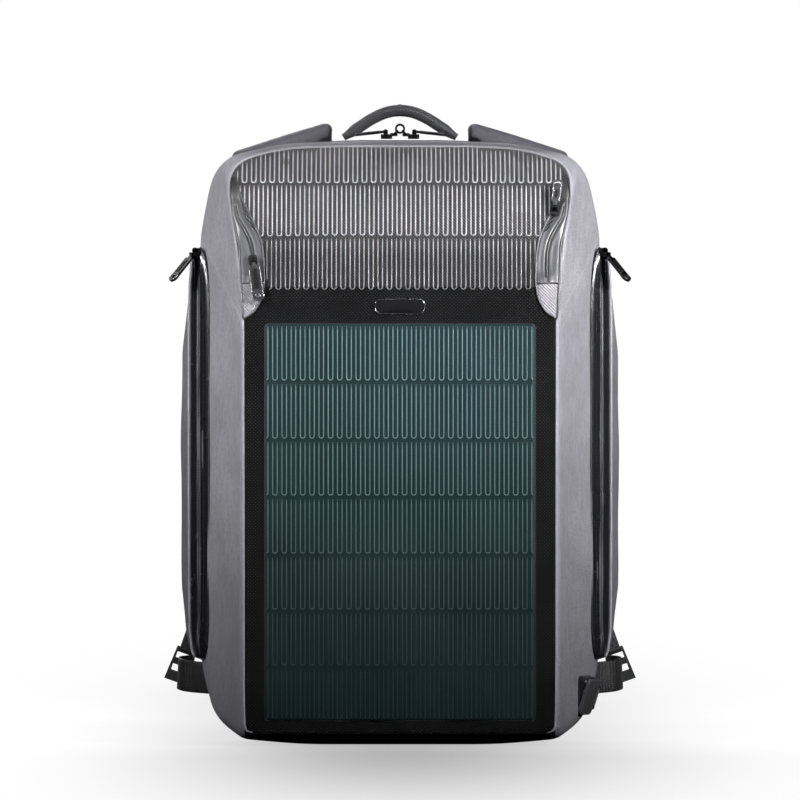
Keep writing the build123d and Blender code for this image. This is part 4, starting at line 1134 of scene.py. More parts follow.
def leaf(side):
    s = -1 if side == "left" else 1
    q = lambda px: [(s * abs((p[0] - 400) * 0.76), (746 - p[1]) * 0.76) for p in px]
    outer_ = q([(242.6, 318.0), (241.2, 296), (240.2, 275.4), (239.6, 258), (238.6, 243.5), (234.8, 229), (232.2, 214.8), (229.8, 195.7), (231.0, 184), (233.6, 176)])
    inner_ = q([(244.0, 318.5), (254.5, 311), (261.5, 298), (263.9, 284), (264.1, 272), (263.0, 252), (259.3, 235.6), (249.7, 214.8), (240.2, 195), (234.6, 177)])
    zip_ = q([(252.8, 283.0), (253.2, 262), (252.0, 249), (249.0, 238.5), (243.6, 228), (237.8, 218.0), (235.0, 206)])
    place = lambda x, z, l: on_front(x, np.clip(z, 9.3, 457), l)
    pieces = []
    g = fill_outline("x", inner_, outer_, place, None, nu=26, nv=70)
    # lifted lips on both sides of the zip line, hollow between them, rolled edges
    zz = smooth_path(np.array(zip_), 80)
    flat = g.reshape(-1, 3)
    d = np.min(np.hypot(flat[:, None, 0] - zz[None, :, 0], flat[:, None, 2] - zz[None, :, 1]), 1).reshape(g.shape[:2])
    k = np.abs(np.linspace(-1, 1, g.shape[1]))[None, :]
    lift = 1.15 * (1 - k ** 5) + 0.75 * np.exp(-((d - 2.4) / 1.7) ** 2) - 0.9 * np.exp(-(d / 0.8) ** 2)
    up = sstep(343, 352, g[..., 2])
    lift = lift * (0.35 + 0.65 * up) + 0.25 * soft(g, 0.06, s * 2.0)
    # the slider's straight run is sunk a little
    t_ = np.clip((g[..., 2] - 362.0) / (414.0 - 362.0), 0, 1)
    run = np.hypot(np.abs(g[..., 0]) - (110.5 + 7.7 * t_), g[..., 2] - (362.0 + 52.0 * t_))
    lift = lift - 1.25 * np.exp(-((run / 5.8) ** 4))
    nrm = np.stack([np.interp(sf(g[..., 2].ravel()), PL, pn[:, i]) for i in range(3)], 1).reshape(g.shape)
    g = g + nrm * lift[..., None]
    # below the seam the pocket is twill, above it coated cloth
    seam = (746 - 283.5) * 0.76
    uv = np.stack([g[..., 0], g[..., 2]], 2)
    bm_ = bm_of(Patch(g, uv))
    bmesh.ops.bisect_plane(bm_, geom=bm_.verts[:] + bm_.edges[:] + bm_.faces[:], plane_co=(0, 0, seam), plane_no=(0, 0, 1), dist=0.001)
    top = cloth(f"corner_pocket_zip_{side}", bm_, 1.1, zip_coated, lining_cloth, keep=lambda c: c.z > seam, level_n=front_n)
    low = cloth(f"corner_pocket_patch_{side}", bm_, 1.1, patch_twill, lining_cloth, keep=lambda c: c.z < seam, level_n=front_n)
    bm_.free()
    # seam fold between the two
    xa, xb = g[np.argmin(abs(g[:, 0, 2] - seam)), 0, 0], g[np.argmin(abs(g[:, -1, 2] - seam)), -1, 0]
    sp = np.array([on_front(x, seam, 2.5) for x in np.linspace(xa, xb, 8)])
    pieces.append(sweep("x", sp, circle(0.55, 8), zip_coated, up=np.tile([0, -0.95, 0.31], (8, 1))))
    # zip coil showing between the lips
    zp = zz[(zz[:, 1] > seam + 4) & (zz[:, 1] < 420)]
    zp = resample(zp, 90)
    teeth = np.array([on_front(x, z, 1.5) for x, z in zp])
    tn = np.array([on_front(x, z, 3.0) - on_front(x, z, 2.0) for x, z in zp])
    coil = sweep("x", teeth, circle(0.75, 6, 0.5), acetal, up=tn, scale=np.stack([1 + 0.35 * (np.arange(90) % 2), np.ones(90)], 1))
    pieces.append(coil)
    # edge binding, and a row of dark stitches beside the inner edge
    for e, r_ in ((outer_, 0.7), (inner_, 0.7)):
        pth = smooth_path(np.array(e), 60)
        pieces.append(sweep("x", place(pth[:, 0], pth[:, 1], 1.0), circle(r_, 7), zip_coated, up=np.stack([np.interp(sf(pth[:, 1]), PL, pn[:, i]) for i in range(3)], 1)))
    pth = smooth_path(np.array(inner_), 60)
    dirx = np.array([(s * 1.3, 0)])
    P3 = place(pth[:, 0] + s * 1.6, pth[:, 1], 2.6)
    N3 = np.stack([np.interp(sf(pth[:, 1]), PL, pn[:, i]) for i in range(3)], 1)
    pieces.append(stitches("x", P3[8:], N3[8:], thread_dark, 2.4, 1.5, 0.18, 0.1))
    trim = join(pieces, f"corner_pocket_trim_{side}")
    return top, low, trim


leaves = [leaf("left"), leaf("right")]
for (top_, low_, trim_), side in zip(leaves, ("left", "right")):
    for o in (top_, low_, trim_):
        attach(o, "top_flap")
    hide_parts(f"corner_zip_tape_{side}")
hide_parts("corner_zip_patches")

# ------------------------------------------------------------------ side pockets
def pocket(side):
    s = -1 if side == "left" else 1
    NV, NU = 96, 60
    th = np.linspace(math.radians(-146), math.radians(40), NU)           # in plan, from the front root round to the rear root
    vv = np.linspace(-1, 1, NV)
    g = np.zeros((NV, NU, 3))
    for i, v in enumerate(vv):
        zc = 222 + 128 * v
        z0 = np.clip(zc, 96, 346)
        tilt = math.asin(np.clip((abs(v) - 0.80) / 0.20, 0, 1) * 0.985) * np.sign(v)
        # plan direction: angle measured from -x (outwards)
        dx, dy = -np.cos((th + math.radians(53)) * 1.0), np.sin(th + math.radians(53))
        d = np.stack([dx * math.cos(tilt), dy * math.cos(tilt), np.full(NU, math.sin(tilt))], 1)
        o = np.tile([-132.0, -12.0, z0 if abs(v) < 0.8 else (96 + 10 if v < 0 else 346 - 14)], (NU, 1))
        if abs(v) < 0.8:
            o[:, 2] = 106 + (v + 0.8) / 1.6 * (332 - 106)
        g[i] = hit(o, d, 0.9, FP, 80)
    n = grad(g.reshape(-1, 3), FP, 1.5).reshape(g.shape)
    outm = g[..., 0] < -150
    g += n * (0.8 * soft(g, 0.02, 5.0 + s) * outm)[..., None]
    g[..., 0] *= -s
    uv = np.stack([np.repeat(np.cumsum(np.r_[0, np.linalg.norm(np.diff(g[NV // 2], axis=0), axis=1)])[None, :], NV, 0), g[..., 2]], 2)
    bm_ = bm_of(Patch(g, uv))
    sgn_n = lambda P: grad(P * np.array([-s, 1, 1]), lambda q: FP(q), 2.0) * np.array([1.0, 1, 1]) * np.array([-s, 1, 1])
    # the pocket cloth is the darker twill copy: painted shade
    ob = cloth(f"side_pocket_cloth_{side}", bm_, 1.6, pocket_twill_painted_shade, lining_cloth, level_n=sgn_n)
    bm_.free()
    return ob


SN = np.array([-0.7885, -0.6150, 0.0])
SV = np.array([-0.6150, 0.7885, 0.0])
SMID = np.array([-153.25, -20.5, 0.0])


def strip(side):
    """Coated strip that holds the side zip: two raised bands, hollow zip line, rolled outer bead."""
    s = -1 if side == "left" else 1
    flipx = np.array([-s, 1, 1])
    zs = np.linspace(66, 379.5, 120)
    # width of the strip along the slope, measured from its middle
    a_in = np.interp(zs, [66, 72, 88, 150, 250, 330, 352, 368, 376, 380], [-4, -9.5, -12.6, -13.4, -13.6, -13.2, -11.5, -8, -4.5, -1.5])
    a_out = np.interp(zs, [66, 72, 88, 150, 250, 330, 352, 368, 376, 380], [5, 9, 11.6, 12.4, 12.6, 12.4, 11.4, 9.4, 7.0, 4.2])
    nu = 34
    g = np.zeros((len(zs), nu, 3))
    for j in range(nu):
        k = j / (nu - 1)
        a = a_in * (1 - k) + a_out * k
        zipd = a
        lift = 1.9 * (1 - abs(2 * k - 1) ** 5) + 0.7 * np.exp(-((np.abs(zipd) - 3.0) / 1.6) ** 2) - 1.2 * np.exp(-(zipd / 1.0) ** 2)
        lift = lift + 0.35 * np.sin(zs * 0.021 + j * 0.12) * np.sin(math.pi * k)
        lift = lift - 1.1 * np.exp(-((zipd / 6.2) ** 4)) * sstep(72, 96, zs) * (1 - sstep(345, 368, zs))
        g[:, j] = SMID + a[:, None] * SV + lift[:, None] * SN
        g[:, j, 2] = zs
    e = 1 - sstep(66, 78, zs) * (1 - sstep(370, 380, zs))
    g -= SN * (1.2 * e)[:, None, None]
    g = g * flipx
    uv = np.stack([np.repeat(np.linspace(0, 25, nu)[None, :], len(zs), 0), g[..., 2]], 2)
    ob = sheet_shell(f"side_zip_strip_{side}", g, 1.6, zip_gloss, uv, outward=SN * flipx)
    # zip coil in the hollow
    pieces = []
    m = (zs > 84) & (zs < 372)
    zz = np.linspace(84, 372, 230)
    ac = zz * 0.0
    c = (SMID + ac[:, None] * SV + 0.75 * SN) * 1.0
    c[:, 2] = zz
    c = c * flipx
    pieces.append(sweep("x", c, circle(0.9, 6, 0.55), acetal, up=np.tile(SN * flipx, (len(c), 1)), scale=np.stack([1 + 0.4 * (np.arange(len(c)) % 2), np.ones(len(c))], 1)))
    # beads along both edges and a dotted row of stitches beside the outer one
    for arr, r_, m_ in ((a_in - 0.2, 0.9, zip_gloss), (a_out + 0.3, 1.0, grey_light)):
        q = SMID + arr[:, None] * SV + 0.9 * SN
        q[:, 2] = zs
        q = q * flipx
        pieces.append(sweep("x", q, circle(r_, 8), m_, up=np.tile(SN * flipx, (len(q), 1))))
    q = SMID + (a_out - 2.0)[:, None] * SV + 2.0 * SN
    q[:, 2] = zs
    q = (q * flipx)[6:-6]
    pieces.append(stitches("x", q, np.tile(SN * flipx, (len(q), 1)), thread, 2.8, 1.3, 0.26, 0.12))
    q = SMID + (a_in * 0.62)[:, None] * SV + 2.45 * SN
    q[:, 2] = zs
    q = (q * flipx)[10:-8]
    pieces.append(stitches("x", q, np.tile(SN * flipx, (len(q), 1)), thread_dark, 2.8, 1.8, 0.2, 0.1))
    trim = join(pieces, f"side_zip_trim_{side}")
    return ob, trim


for side in ("left", "right"):
    pk = pocket(side)
    st, tr = strip(side)
    for o in (pk, st, tr):
        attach(o, "bag")
    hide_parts(f"side_pocket_{side}")
    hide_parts(f"side_zip_tape_{side}")

# ------------------------------------------------------------------ main zip on the roof
def ring_at(y_abs, lift, zmin):
    """A path on the roof and shoulders of the bag at a given depth."""
    out = []
    for i in range(len(full)):
        ys = full[i, :, 1]
        if ys[0] > y_abs:
            continue
        p = [np.interp(y_abs, ys, full[i, :, k]) for k in range(3)]
        out.append(p)
    out = np.array(out)
    out = roll(out, lambda a: a[:, 2] > zmin)[0]
    n = grad(out, lambda q: F(q, 14.0), 2.0)
    return out + n * lift, n


def tape(name, y0, y1, zmin, mat_, bulge=0.5, lip=0.0):
    cols = np.linspace(y0, y1, 9)
    g = []
    for j, y in enumerate(cols):
        k = j / 8
        h = 0.75 + bulge * math.sin(math.pi * k) ** 0.5 + (0.8 * math.exp(-(((1 - k) if lip > 0 else k) / 0.16) ** 2) if lip else 0)
        p, n = ring_at(y, h, zmin)
        g.append(resample(p, 240))
    g = np.stack(g, 1)
    uv = np.stack([np.repeat(cols[None, :], 240, 0), np.repeat(np.linspace(0, 450, 240)[:, None], 9, 1)], 2)
    return sheet_shell(name, g, 0.8, mat_, uv, outward=(0, 0, 1))


tape_f = tape("main_zip_tape_cloth_front", 15.0, 24.6, 419.5, zip_coated, 0.4, 1.0)
tape_r = tape("main_zip_tape_cloth_rear", 25.4, 35.0, 419.5, zip_coated, 0.4, -1.0)
tf = [tape_f]
p, n = ring_at(14.6, 1.1, 419.5)
q = resample(p, 200)
tape_bead = sweep("main_zip_bead", q, circle(0.9, 8), grey_light, up=grad(q, lambda z: F(z, 14.0), 2.0))
for nm, y_ in (("front", 24.75), ("rear", 25.25)):
    p, n = ring_at(y_, 1.7, 421)
    q = resample(p, 620)
    zt = sweep(f"main_zip_teeth_{nm}", q, circle(0.55, 6, 0.8), acetal, up=grad(q, lambda z: F(z, 14.0), 2.0), scale=np.stack([1 + 0.5 * (np.arange(620) % 2), 1 + 0.3 * (np.arange(620) % 2)], 1))
    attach(zt, "top_flap" if nm == "front" else "bag")
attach(tape_f, "top_flap")
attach(tape_r, "bag")
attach(tape_bead, "top_flap")
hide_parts("main_zip_tape_front")
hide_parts("main_zip_tape_rear")

# ------------------------------------------------------------------ badge
def badge():
    z0, y0 = 334.0, -91.3
    w_, h_, r_ = 19.0, 6.0, 4.5
    loop = []
    for cx_, cz_, a0 in ((w_ - r_, h_ - r_, 0), (-w_ + r_, h_ - r_, 90), (-w_ + r_, -h_ + r_, 180), (w_ - r_, -h_ + r_, 270)):
        for a in np.linspace(a0, a0 + 90, 9):
            loop.append((cx_ + r_ * math.cos(math.radians(a)), cz_ + r_ * math.sin(math.radians(a))))
    loop = np.array(loop)
    layers = [(1.0, 0.0), (1.0, 1.6), (0.985, 2.1), (0.955, 2.4), (0.93, 2.35), (0.915, 1.75), (0.90, 1.75), (0.6, 2.0), (0.2, 2.1)]
    verts, faces, fm = [], [], []
    n_ = len(loop)
    for k_, d_ in layers:
        kx, kz = 1 - (1 - k_) * h_ / w_ if k_ > 0.85 else k_, k_
        for x, z in loop:
            verts.append((x * kx, y0 - d_, z0 + z * kz))
    for l in range(len(layers) - 1):
        for j in range(n_):
            faces.append((l * n_ + j, l * n_ + (j + 1) % n_, (l + 1) * n_ + (j + 1) % n_, (l + 1) * n_ + j))
            fm.append(1 if 1 <= l <= 4 else 0)
    faces.append(list(range((len(layers) - 1) * n_, len(layers) * n_)))
    fm.append(0)
    faces.append(list(range(n_))[::-1])
    fm.append(0)
    ob = mesh("badge_cover", verts, faces, None, None, True, fm, [gloss_black, badge_rim])
    return ob


bd = badge()
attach(bd, "top_flap")
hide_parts("badge_plate")


# ------------------------------------------------------------------ padded pieces
def evaluated(ob):
    dg = bpy.context.evaluated_depsgraph_get()
    return bpy.data.meshes.new_from_object(ob.evaluated_get(dg))


def swap_mesh(ob, me):
    old = ob.data
    ob.modifiers.clear()
    ob.data = me
    bpy.data.meshes.remove(old)


def box_uv(ob):
    """UVs in metres from the side that each face looks towards."""
    me = ob.data
    lay = me.uv_layers[0] if me.uv_layers else me.uv_layers.new(name="UVMap")
    co = np.zeros(len(me.vertices) * 3, np.float32)
    me.vertices.foreach_get("co", co)
    co = co.reshape(-1, 3)
    for p in me.polygons:
        a = max(range(3), key=lambda i: abs(p.normal[i]) + (0.15 if i == 1 else 0))
        i, j = ((1, 2), (0, 2), (0, 1))[a]
        for li in p.loop_indices:
            c = co[me.loops[li].vertex_index]
            lay.data[li].uv = (c[i], c[j])


def coords(ob):
    co = np.zeros(len(ob.data.vertices) * 3, np.float32)
    ob.data.vertices.foreach_get("co", co)
    return co.reshape(-1, 3).astype(float)


def set_coords(ob, co):
    ob.data.vertices.foreach_set("co", np.asarray(co, np.float32).ravel())
    ob.data.update()


def puff(name, nodes, mat_, voxel=0.005, cap=0.004, shrink=0.0012, pressure=4.0, part=None, smooth=3):
    """Padded piece: remeshed copy of its solid, blown up slightly as cloth, capped, smoothed and subdivided."""
    bm_ = bmesh.new()
    for nd in nodes:
        src = frame["nodes"][nd]
        me = src.data.copy()
        me.transform(src.matrix_world)
        bm_.from_mesh(me)
        bpy.data.meshes.remove(me)
    bmesh.ops.remove_doubles(bm_, verts=bm_.verts, dist=0.00002)
    me = bpy.data.meshes.new(name)
    bm_.to_mesh(me)
    bm_.free()
    me.materials.clear()
    ob = link(me, name, mat_)
    m = ob.modifiers.new("r", "REMESH")
    m.mode, m.voxel_size = "VOXEL", voxel
    swap_mesh(ob, evaluated(ob))
    co = coords(ob)
    nrm = np.zeros(len(co) * 3, np.float32)
    ob.data.vertices.foreach_get("normal", nrm)
    co = co - nrm.reshape(-1, 3) * shrink
    set_coords(ob, co)
    cm = ob.modifiers.new("c", "CLOTH")
    st = cm.settings
    st.quality = 5
    st.mass = 0.3
    st.tension_stiffness = st.compression_stiffness = 15
    st.shear_stiffness = 5
    st.bending_stiffness = 0.5
    st.use_pressure = True
    st.uniform_pressure_force = pressure
    st.effector_weights.gravity = 0
    cm.collision_settings.use_collision = False
    for f in range(1, 21):
        bpy.context.scene.frame_set(f)
    me2 = evaluated(ob)
    new = np.zeros(len(me2.vertices) * 3, np.float32)
    me2.vertices.foreach_get("co", new)
    bpy.data.meshes.remove(me2)
    ob.modifiers.clear()
    bpy.context.scene.frame_set(1)
    d = new.reshape(-1, 3) - co
    L = np.linalg.norm(d, axis=1)
    d *= (np.minimum(L, cap) / np.maximum(L, 1e-9))[:, None]
    set_coords(ob, co + d)
    sm = ob.modifiers.new("s", "SMOOTH")
    sm.factor, sm.iterations = 0.5, smooth
    sb = ob.modifiers.new("d", "SUBSURF")
    sb.levels = sb.render_levels = 1
    swap_mesh(ob, evaluated(ob))
    ob.data.polygons.foreach_set("use_smooth", [True] * len(ob.data.polygons))
    if not ob.data.materials:
        ob.data.materials.append(mat_)
    box_uv(ob)
    return ob


from mathutils.bvhtree import BVHTree


def bvh(ob):
    me = ob.data
    return BVHTree.FromPolygons([v.co.copy() for v in me.vertices], [tuple(p.vertices) for p in me.polygons])


def strap_centre(z):
    return np.interp(z, [124, 210, 330, 430, 520], [139, 136, 116, 92, 91])


for side in ("left", "right"):
    s = -1 if side == "left" else 1
    pad_ = puff(f"shoulder_strap_pad_{side}", [f"shoulder_pad_{side}"], grey_satin, 0.004, 0.003, -0.0015, 4.0, smooth=1)
    # quilted channels run down both edges of the pad's outer and inner faces
    co = coords(pad_) * 1000
    nrm = np.zeros(len(co) * 3, np.float32)
    pad_.data.vertices.foreach_get("normal", nrm)
    nrm = nrm.reshape(-1, 3)
    cxl = strap_centre(co[:, 2])
    hw = np.interp(co[:, 2], [124, 210, 330, 430], [21, 24, 30, 38.5])
    dd = np.abs(np.abs(co[:, 0] * s - cxl) - (hw - 7.0))
    face = np.abs(nrm[:, 1]) > 0.55
    co -= nrm * (1.1 * np.exp(-(dd / 2.2) ** 2) * face * (co[:, 2] > 132) * (co[:, 2] < 452))[:, None]
    set_coords(pad_, co / 1000)
    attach(pad_, f"shoulder_strap_{side}")
    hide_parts(f"shoulder_pad_{side}")
    # webbing runner sewn down the pad's outer face, with bar tacks
    tree = bvh(pad_)
    zs_ = np.linspace(446, 131, 80)
    g = []
    for k in np.linspace(-10, 10, 7):
        col = []
        for z in zs_:
            h = tree.ray_cast(Vector((s * (strap_centre(z) + k) / 1000, 0.2, z / 1000)), Vector((0, -1, 0)))
            col.append((h[0] * 1000)[:] if h[0] else (col[-1] if col else (s * (strap_centre(z) + k), 120, z)))
        g.append(col)
    g = np.array(g).transpose(1, 0, 2)
    gy = g[..., 1].copy()
    for _ in range(4):
        gy[1:-1] = (gy[:-2] + gy[1:-1] * 2 + gy[2:]) / 4
    g[..., 1] = np.maximum(gy, g[..., 1]) + 1.3
    uv = np.stack([np.repeat(np.linspace(-10, 10, 7)[None, :], 80, 0), np.repeat(np.linspace(0, 320, 80)[:, None], 7, 1)], 2)
    runner = sheet_shell(f"strap_runner_{side}", g, 1.4, webbing, uv, outward=(0, 1, 0))
    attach(runner, f"shoulder_strap_{side}")
    bits = []
    nr = np.tile([0, 1.0, 0], (80, 1))
    for c_ in (1, 5):
        bits.append(stitches("x", g[:, c_], nr, thread_dark, 3.0, 2.0, 0.25, 0.15))
    for z_i in (4, 26, 50, 74):
        a_, b_ = g[z_i, 0], g[z_i, 6]
        line = np.array([a_ + (b_ - a_) * t for t in np.linspace(0.08, 0.92, 22)])
        zig = line + np.array([0, 0.1, 0]) + np.stack([np.zeros(22), np.zeros(22), 1.1 * (np.arange(22) % 2 * 2 - 1)], 1)
        bits.append(sweep("x", zig, circle(0.32, 5), thread_dark, up=np.tile([0, 1.0, 0], (22, 1))))
    st_ = join(bits, f"strap_runner_stitches_{side}")
    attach(st_, f"shoulder_strap_{side}")

# back pads: mesh-faced foam with sewn channels
bp = puff("back_mesh_pads", ["back_pads"], mesh_pad, 0.005, 0.0045, 0.001, 4.0, smooth=2)
co = coords(bp) * 1000
outy = sstep(83.5, 86.5, co[:, 1])
gro = np.zeros(len(co))
for z in (214, 268, 322, 95):
    gro += np.exp(-((co[:, 2] - z) / 2.6) ** 2)
upz = co[:, 2] > 152
gro += np.exp(-((np.abs(co[:, 0]) - 58) / 2.4) ** 2) * upz * (np.abs(np.mod(co[:, 2], 54) - 0) > 0) * 0.0
co[:, 1] -= 3.2 * np.clip(gro, 0, 1) * outy
co[:, 1] += 0.5 * soft(co, 0.02, 4.0) * outy
set_coords(bp, co / 1000)
box_uv(bp)
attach(bp, "bag")
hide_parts("back_pads")


def back_pipe(name, x0, x1, z0, z1, r):
    """Binding round one back pad."""
    loop = []
    for cx_, cz_, a0 in ((x1 - r, z1 - r, 0), (x0 + r, z1 - r, 90), (x0 + r, z0 + r, 180), (x1 - r, z0 + r, 270)):
        for a in np.linspace(a0, a0 + 90, 8):
            loop.append((cx_ + r * math.cos(math.radians(a)), 82.2, cz_ + r * math.sin(math.radians(a))))
    loop = resample(np.array(loop + loop[:1]), 160)[:-1]
    return sweep(name, loop, circle(1.5, 8), grey_light, up=np.tile([0, 1.0, 0], (len(loop), 1)), closed=True)


bpp = join([back_pipe("x", -103.2, -12.8, 158.8, 379.2, 17), back_pipe("x", 12.8, 103.2, 158.8, 379.2, 17), back_pipe("x", -103.2, 103.2, 42.8, 147.2, 17)], "back_pad_binding")
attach(bpp, "bag")

# yoke that the straps are sewn into
yx = np.linspace(-1, 1, 50)
g = np.zeros((16, 50, 3))
for i, v in enumerate(np.linspace(0, 1, 16)):
    xw = 112 + 6 * v
    x = yx * xw
    low = np.interp(abs(x), [0, 40, 112], [388, 388, 404])
    z = low + (427 - low) * v
    g[i] = np.stack([x, 82.6 + 1.1 * np.sin(math.pi * v) ** 0.5 * np.clip((1 - abs(yx)) * 8, 0, 1) + 0.3 * np.sin(x * 0.1) * math.sin(v * 5), z], 1)
yoke_ob = sheet_shell("strap_yoke_cloth", g, 2.4, grey_twill, outward=(0, 1, 0))
rows_y = []
for v in (1, 14):
    rows_y.append(stitches("x", g[v], np.tile([0, 1.0, 0], (50, 1)), thread, 3.2, 2.2, 0.25, 0.15))
yst = join(rows_y, "strap_yoke_stitches")
for o in (yoke_ob, yst):
    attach(o, "bag")
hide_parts("strap_yoke")

# ------------------------------------------------------------------ grab handle
hp = smooth_path(np.array([(-43.6, 50, 465.6), (-38.2, 50, 469.0), (-30.5, 50, 474.2), (-21, 50, 480.2), (-10.5, 50, 484.8), (0, 50, 486.3),
                           (10.5, 50, 484.8), (21, 50, 480.2), (30.5, 50, 474.2), (38.2, 50, 469.0), (43.6, 50, 465.6)]), 90)
sec = []
for i in range(20):
    a = 2 * math.pi * i / 20
    c_, s_ = math.cos(a), math.sin(a)
    sec.append((abs(c_) ** 0.7 * np.sign(c_) * 10.4, abs(s_) ** 0.8 * np.sign(s_) * 4.5))
endk = np.minimum(np.arange(90), np.arange(90)[::-1]) / 89.0
sc_ = np.stack([0.7 + 0.3 * sstep(0.0, 0.12, endk), 0.62 + 0.38 * sstep(0.0, 0.12, endk)], 1)
t_ = np.gradient(hp, axis=0)
up_ = np.stack([-t_[:, 2], np.zeros(90), t_[:, 0]], 1)
up_ /= np.linalg.norm(up_, axis=1)[:, None]
up_[up_[:, 2] < 0] *= -1
handle = sweep("grab_handle_tube", hp, sec, handle_weave, up=up_, scale=sc_)
hst = []
for sy in (-1, 1):
    q = hp[12:-12] + up_[12:-12] * 3.0 + np.array([0, sy * 7.4, 0])
    hst.append(stitches("x", q, up_[12:-12], thread_dark, 2.8, 1.9, 0.24, 0.35))
q = np.stack([np.full(9, 0.0), np.linspace(-6.5, 6.5, 9) + 50, np.full(9, 490.9)], 1) + np.stack([1.1 * (np.arange(9) % 2 * 2 - 1), np.zeros(9), np.zeros(9)], 1)
hst.append(sweep("x", q, circle(0.3, 5), thread, up=np.tile([0, 0, 1.0], (9, 1))))
hstitch = join(hst, "grab_handle_stitches")
for o in (handle, hstitch):
    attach(o, "grab_handle")
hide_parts("grab_handle")


def on_roof(x, y, lift):
    o = np.stack([x, y, np.full(np.shape(x), 380.0)], -1).reshape(-1, 3)
    d = np.tile([0, 0, 1.0], (len(o), 1))
    return (hit(o, d, OUT + lift, far=120)).reshape(np.shape(x) + (3,))


anch = []
for s in (-1, 1):
    X, Y = np.meshgrid(np.linspace(25, 51, 12) * s, np.linspace(39.5, 57.5, 10))
    g = on_roof(X, Y, 0.75)
    anch.append(sheet_shell("x", g, 1.2, webbing, np.stack([X, Y], 2), outward=(0, 0, 1)))
    box_ = [(27.5, 41.5), (48.5, 41.5), (48.5, 55.5), (27.5, 55.5), (27.5, 41.5), (48.5, 55.5)]
    q = resample(np.array(box_, float), 60)
    P3 = on_roof(q[:, 0] * s, q[:, 1], 0.95)
    anch.append(stitches("x", P3, np.tile([0, 0, 1.0], (60, 1)), thread_dark, 2.6, 1.8, 0.24, 0.1))
anchors_h = join(anch, "grab_handle_anchors")
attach(anchors_h, "bag")
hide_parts("handle_anchor_patches")

# ------------------------------------------------------------------ webbing below the straps
def ribbon3(name, path, width_dir, width, thick, mat_, n=60):
    q = smooth_path(np.array(path, float), n)
    wd_ = np.asarray(width_dir, float)
    wd_ = np.tile(wd_, (n, 1)) if wd_.ndim == 1 else resample(wd_, n)
    t = np.gradient(q, axis=0)
    t /= np.linalg.norm(t, axis=1)[:, None]
    wd_ = wd_ - t * (wd_ * t).sum(1)[:, None]
    wd_ /= np.linalg.norm(wd_, axis=1)[:, None]
    up = np.cross(wd_, t)
    h, r = width / 2, thick / 2
    sec_ = [(-h, -r * 0.5), (-h + 0.7, -r)] + [(x, -r) for x in np.linspace(-h + 3, h - 3, 5)] + [(h - 0.7, -r), (h, -r * 0.5), (h, r * 0.5), (h - 0.7, r)] + [(x, r) for x in np.linspace(h - 3, -h + 3, 5)] + [(-h + 0.7, r), (-h, r * 0.5)]
    return sweep(name, q, sec_, mat_, up=up)


def rotx(p, deg, c):
    a = math.radians(deg)
    p = np.asarray(p, float) - c
    return np.stack([p[:, 0], p[:, 1] * math.cos(a) - p[:, 2] * math.sin(a), p[:, 1] * math.sin(a) + p[:, 2] * math.cos(a)], 1) + c


def roty(p, deg):
    a = math.radians(deg)
    p = np.asarray(p, float)
    return np.stack([p[:, 0] * math.cos(a) + p[:, 2] * math.sin(a), p[:, 1], -p[:, 0] * math.sin(a) + p[:, 2] * math.cos(a)], 1)


for side in ("left", "right"):
    s = -1 if side == "left" else 1
    path = [(143.5, 61.0, 49.5), (150, 62.0, 49.5), (158.5, 64.2, 49.8), (166.5, 68.4, 50.2), (170.6, 75.5, 50.4), (171.2, 83, 50.2), (168.5, 90.2, 49.8), (163.2, 94.4, 49.5), (160.0, 95.6, 49.3)]
    path = rotx(np.array(path), 8, np.array([150, 70, 50.0]))
    path[:, 0] *= s
    wdir = np.array([[0, -0.14, 1.0], [s * 0.05, -0.14, 1.0], [s * -0.06, -0.1, 1.0], [s * 0.04, -0.14, 1.0]])
    lw = ribbon3(f"lower_webbing_band_{side}", path, wdir, 24.6, 1.7, webbing, 70)
    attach(lw, "bag")
    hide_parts(f"lower_webbing_{side}")
    tabp = roty(np.array([(0, 117.6, 6.0), (0, 116.0, 0), (0, 112.5, -14), (0, 110.0, -26), (0, 108.2, -38), (0, 107.0, -51), (0, 106.2, -63)]), -19.5) + np.array([139, 0, 124.0])
    wd_ = roty(np.array([[1.0, 0, 0]]), -19.5)[0]
    tabp[:, 0] *= s
    wd_[0] *= s
    tw = ribbon3(f"lock_webbing_band_{side}", tabp, wd_, 24.6, 1.7, webbing, 50)
    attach(tw, f"shoulder_strap_{side}")
    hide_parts(f"lock_webbing_{side}")

# ------------------------------------------------------------------ hardware: finishes, softened edges, inlays
def dress(node, mat_, width=0.0, seg=2):
    o = frame["nodes"][node]
    o.data.materials.clear()
    o.data.materials.append(mat_)
    for sl in o.material_slots:
        sl.material = mat_
    if width:
        m = o.modifiers.new("edge", "BEVEL")
        m.width, m.segments, m.limit_method, m.angle_limit = width, seg, "ANGLE", math.radians(40)
        m.use_clamp_overlap = True
    return o


for k_ in ("main", "side", "corner"):
    for side in ("left", "right"):
        dress(f"{k_}_slider_{side}", black_nickel, 0.00025)
        dress(f"{k_}_pull_{side}", black_nickel, 0.0002)
for side in ("left", "right"):
    dress(f"ladder_lock_{side}", acetal, 0.0006, 3)
dress("usb_housing", usb_bezel, 0.0003)
dress("usb_cover", usb_rubber, 0.0003)
dress("usb_socket", contact_steel)
dress("webbing_anchors", webbing_obj, 0.0003)
dress("solar_backing", backing)
dress("solar_cells", cell_mat)
dress("charge_controller", acetal, 0.0008, 3)
dress("charge_cable", cable_jacket)
dress("cable_clips", acetal, 0.0004)
dress("sleeve_strap", webbing_obj, 0.0003)


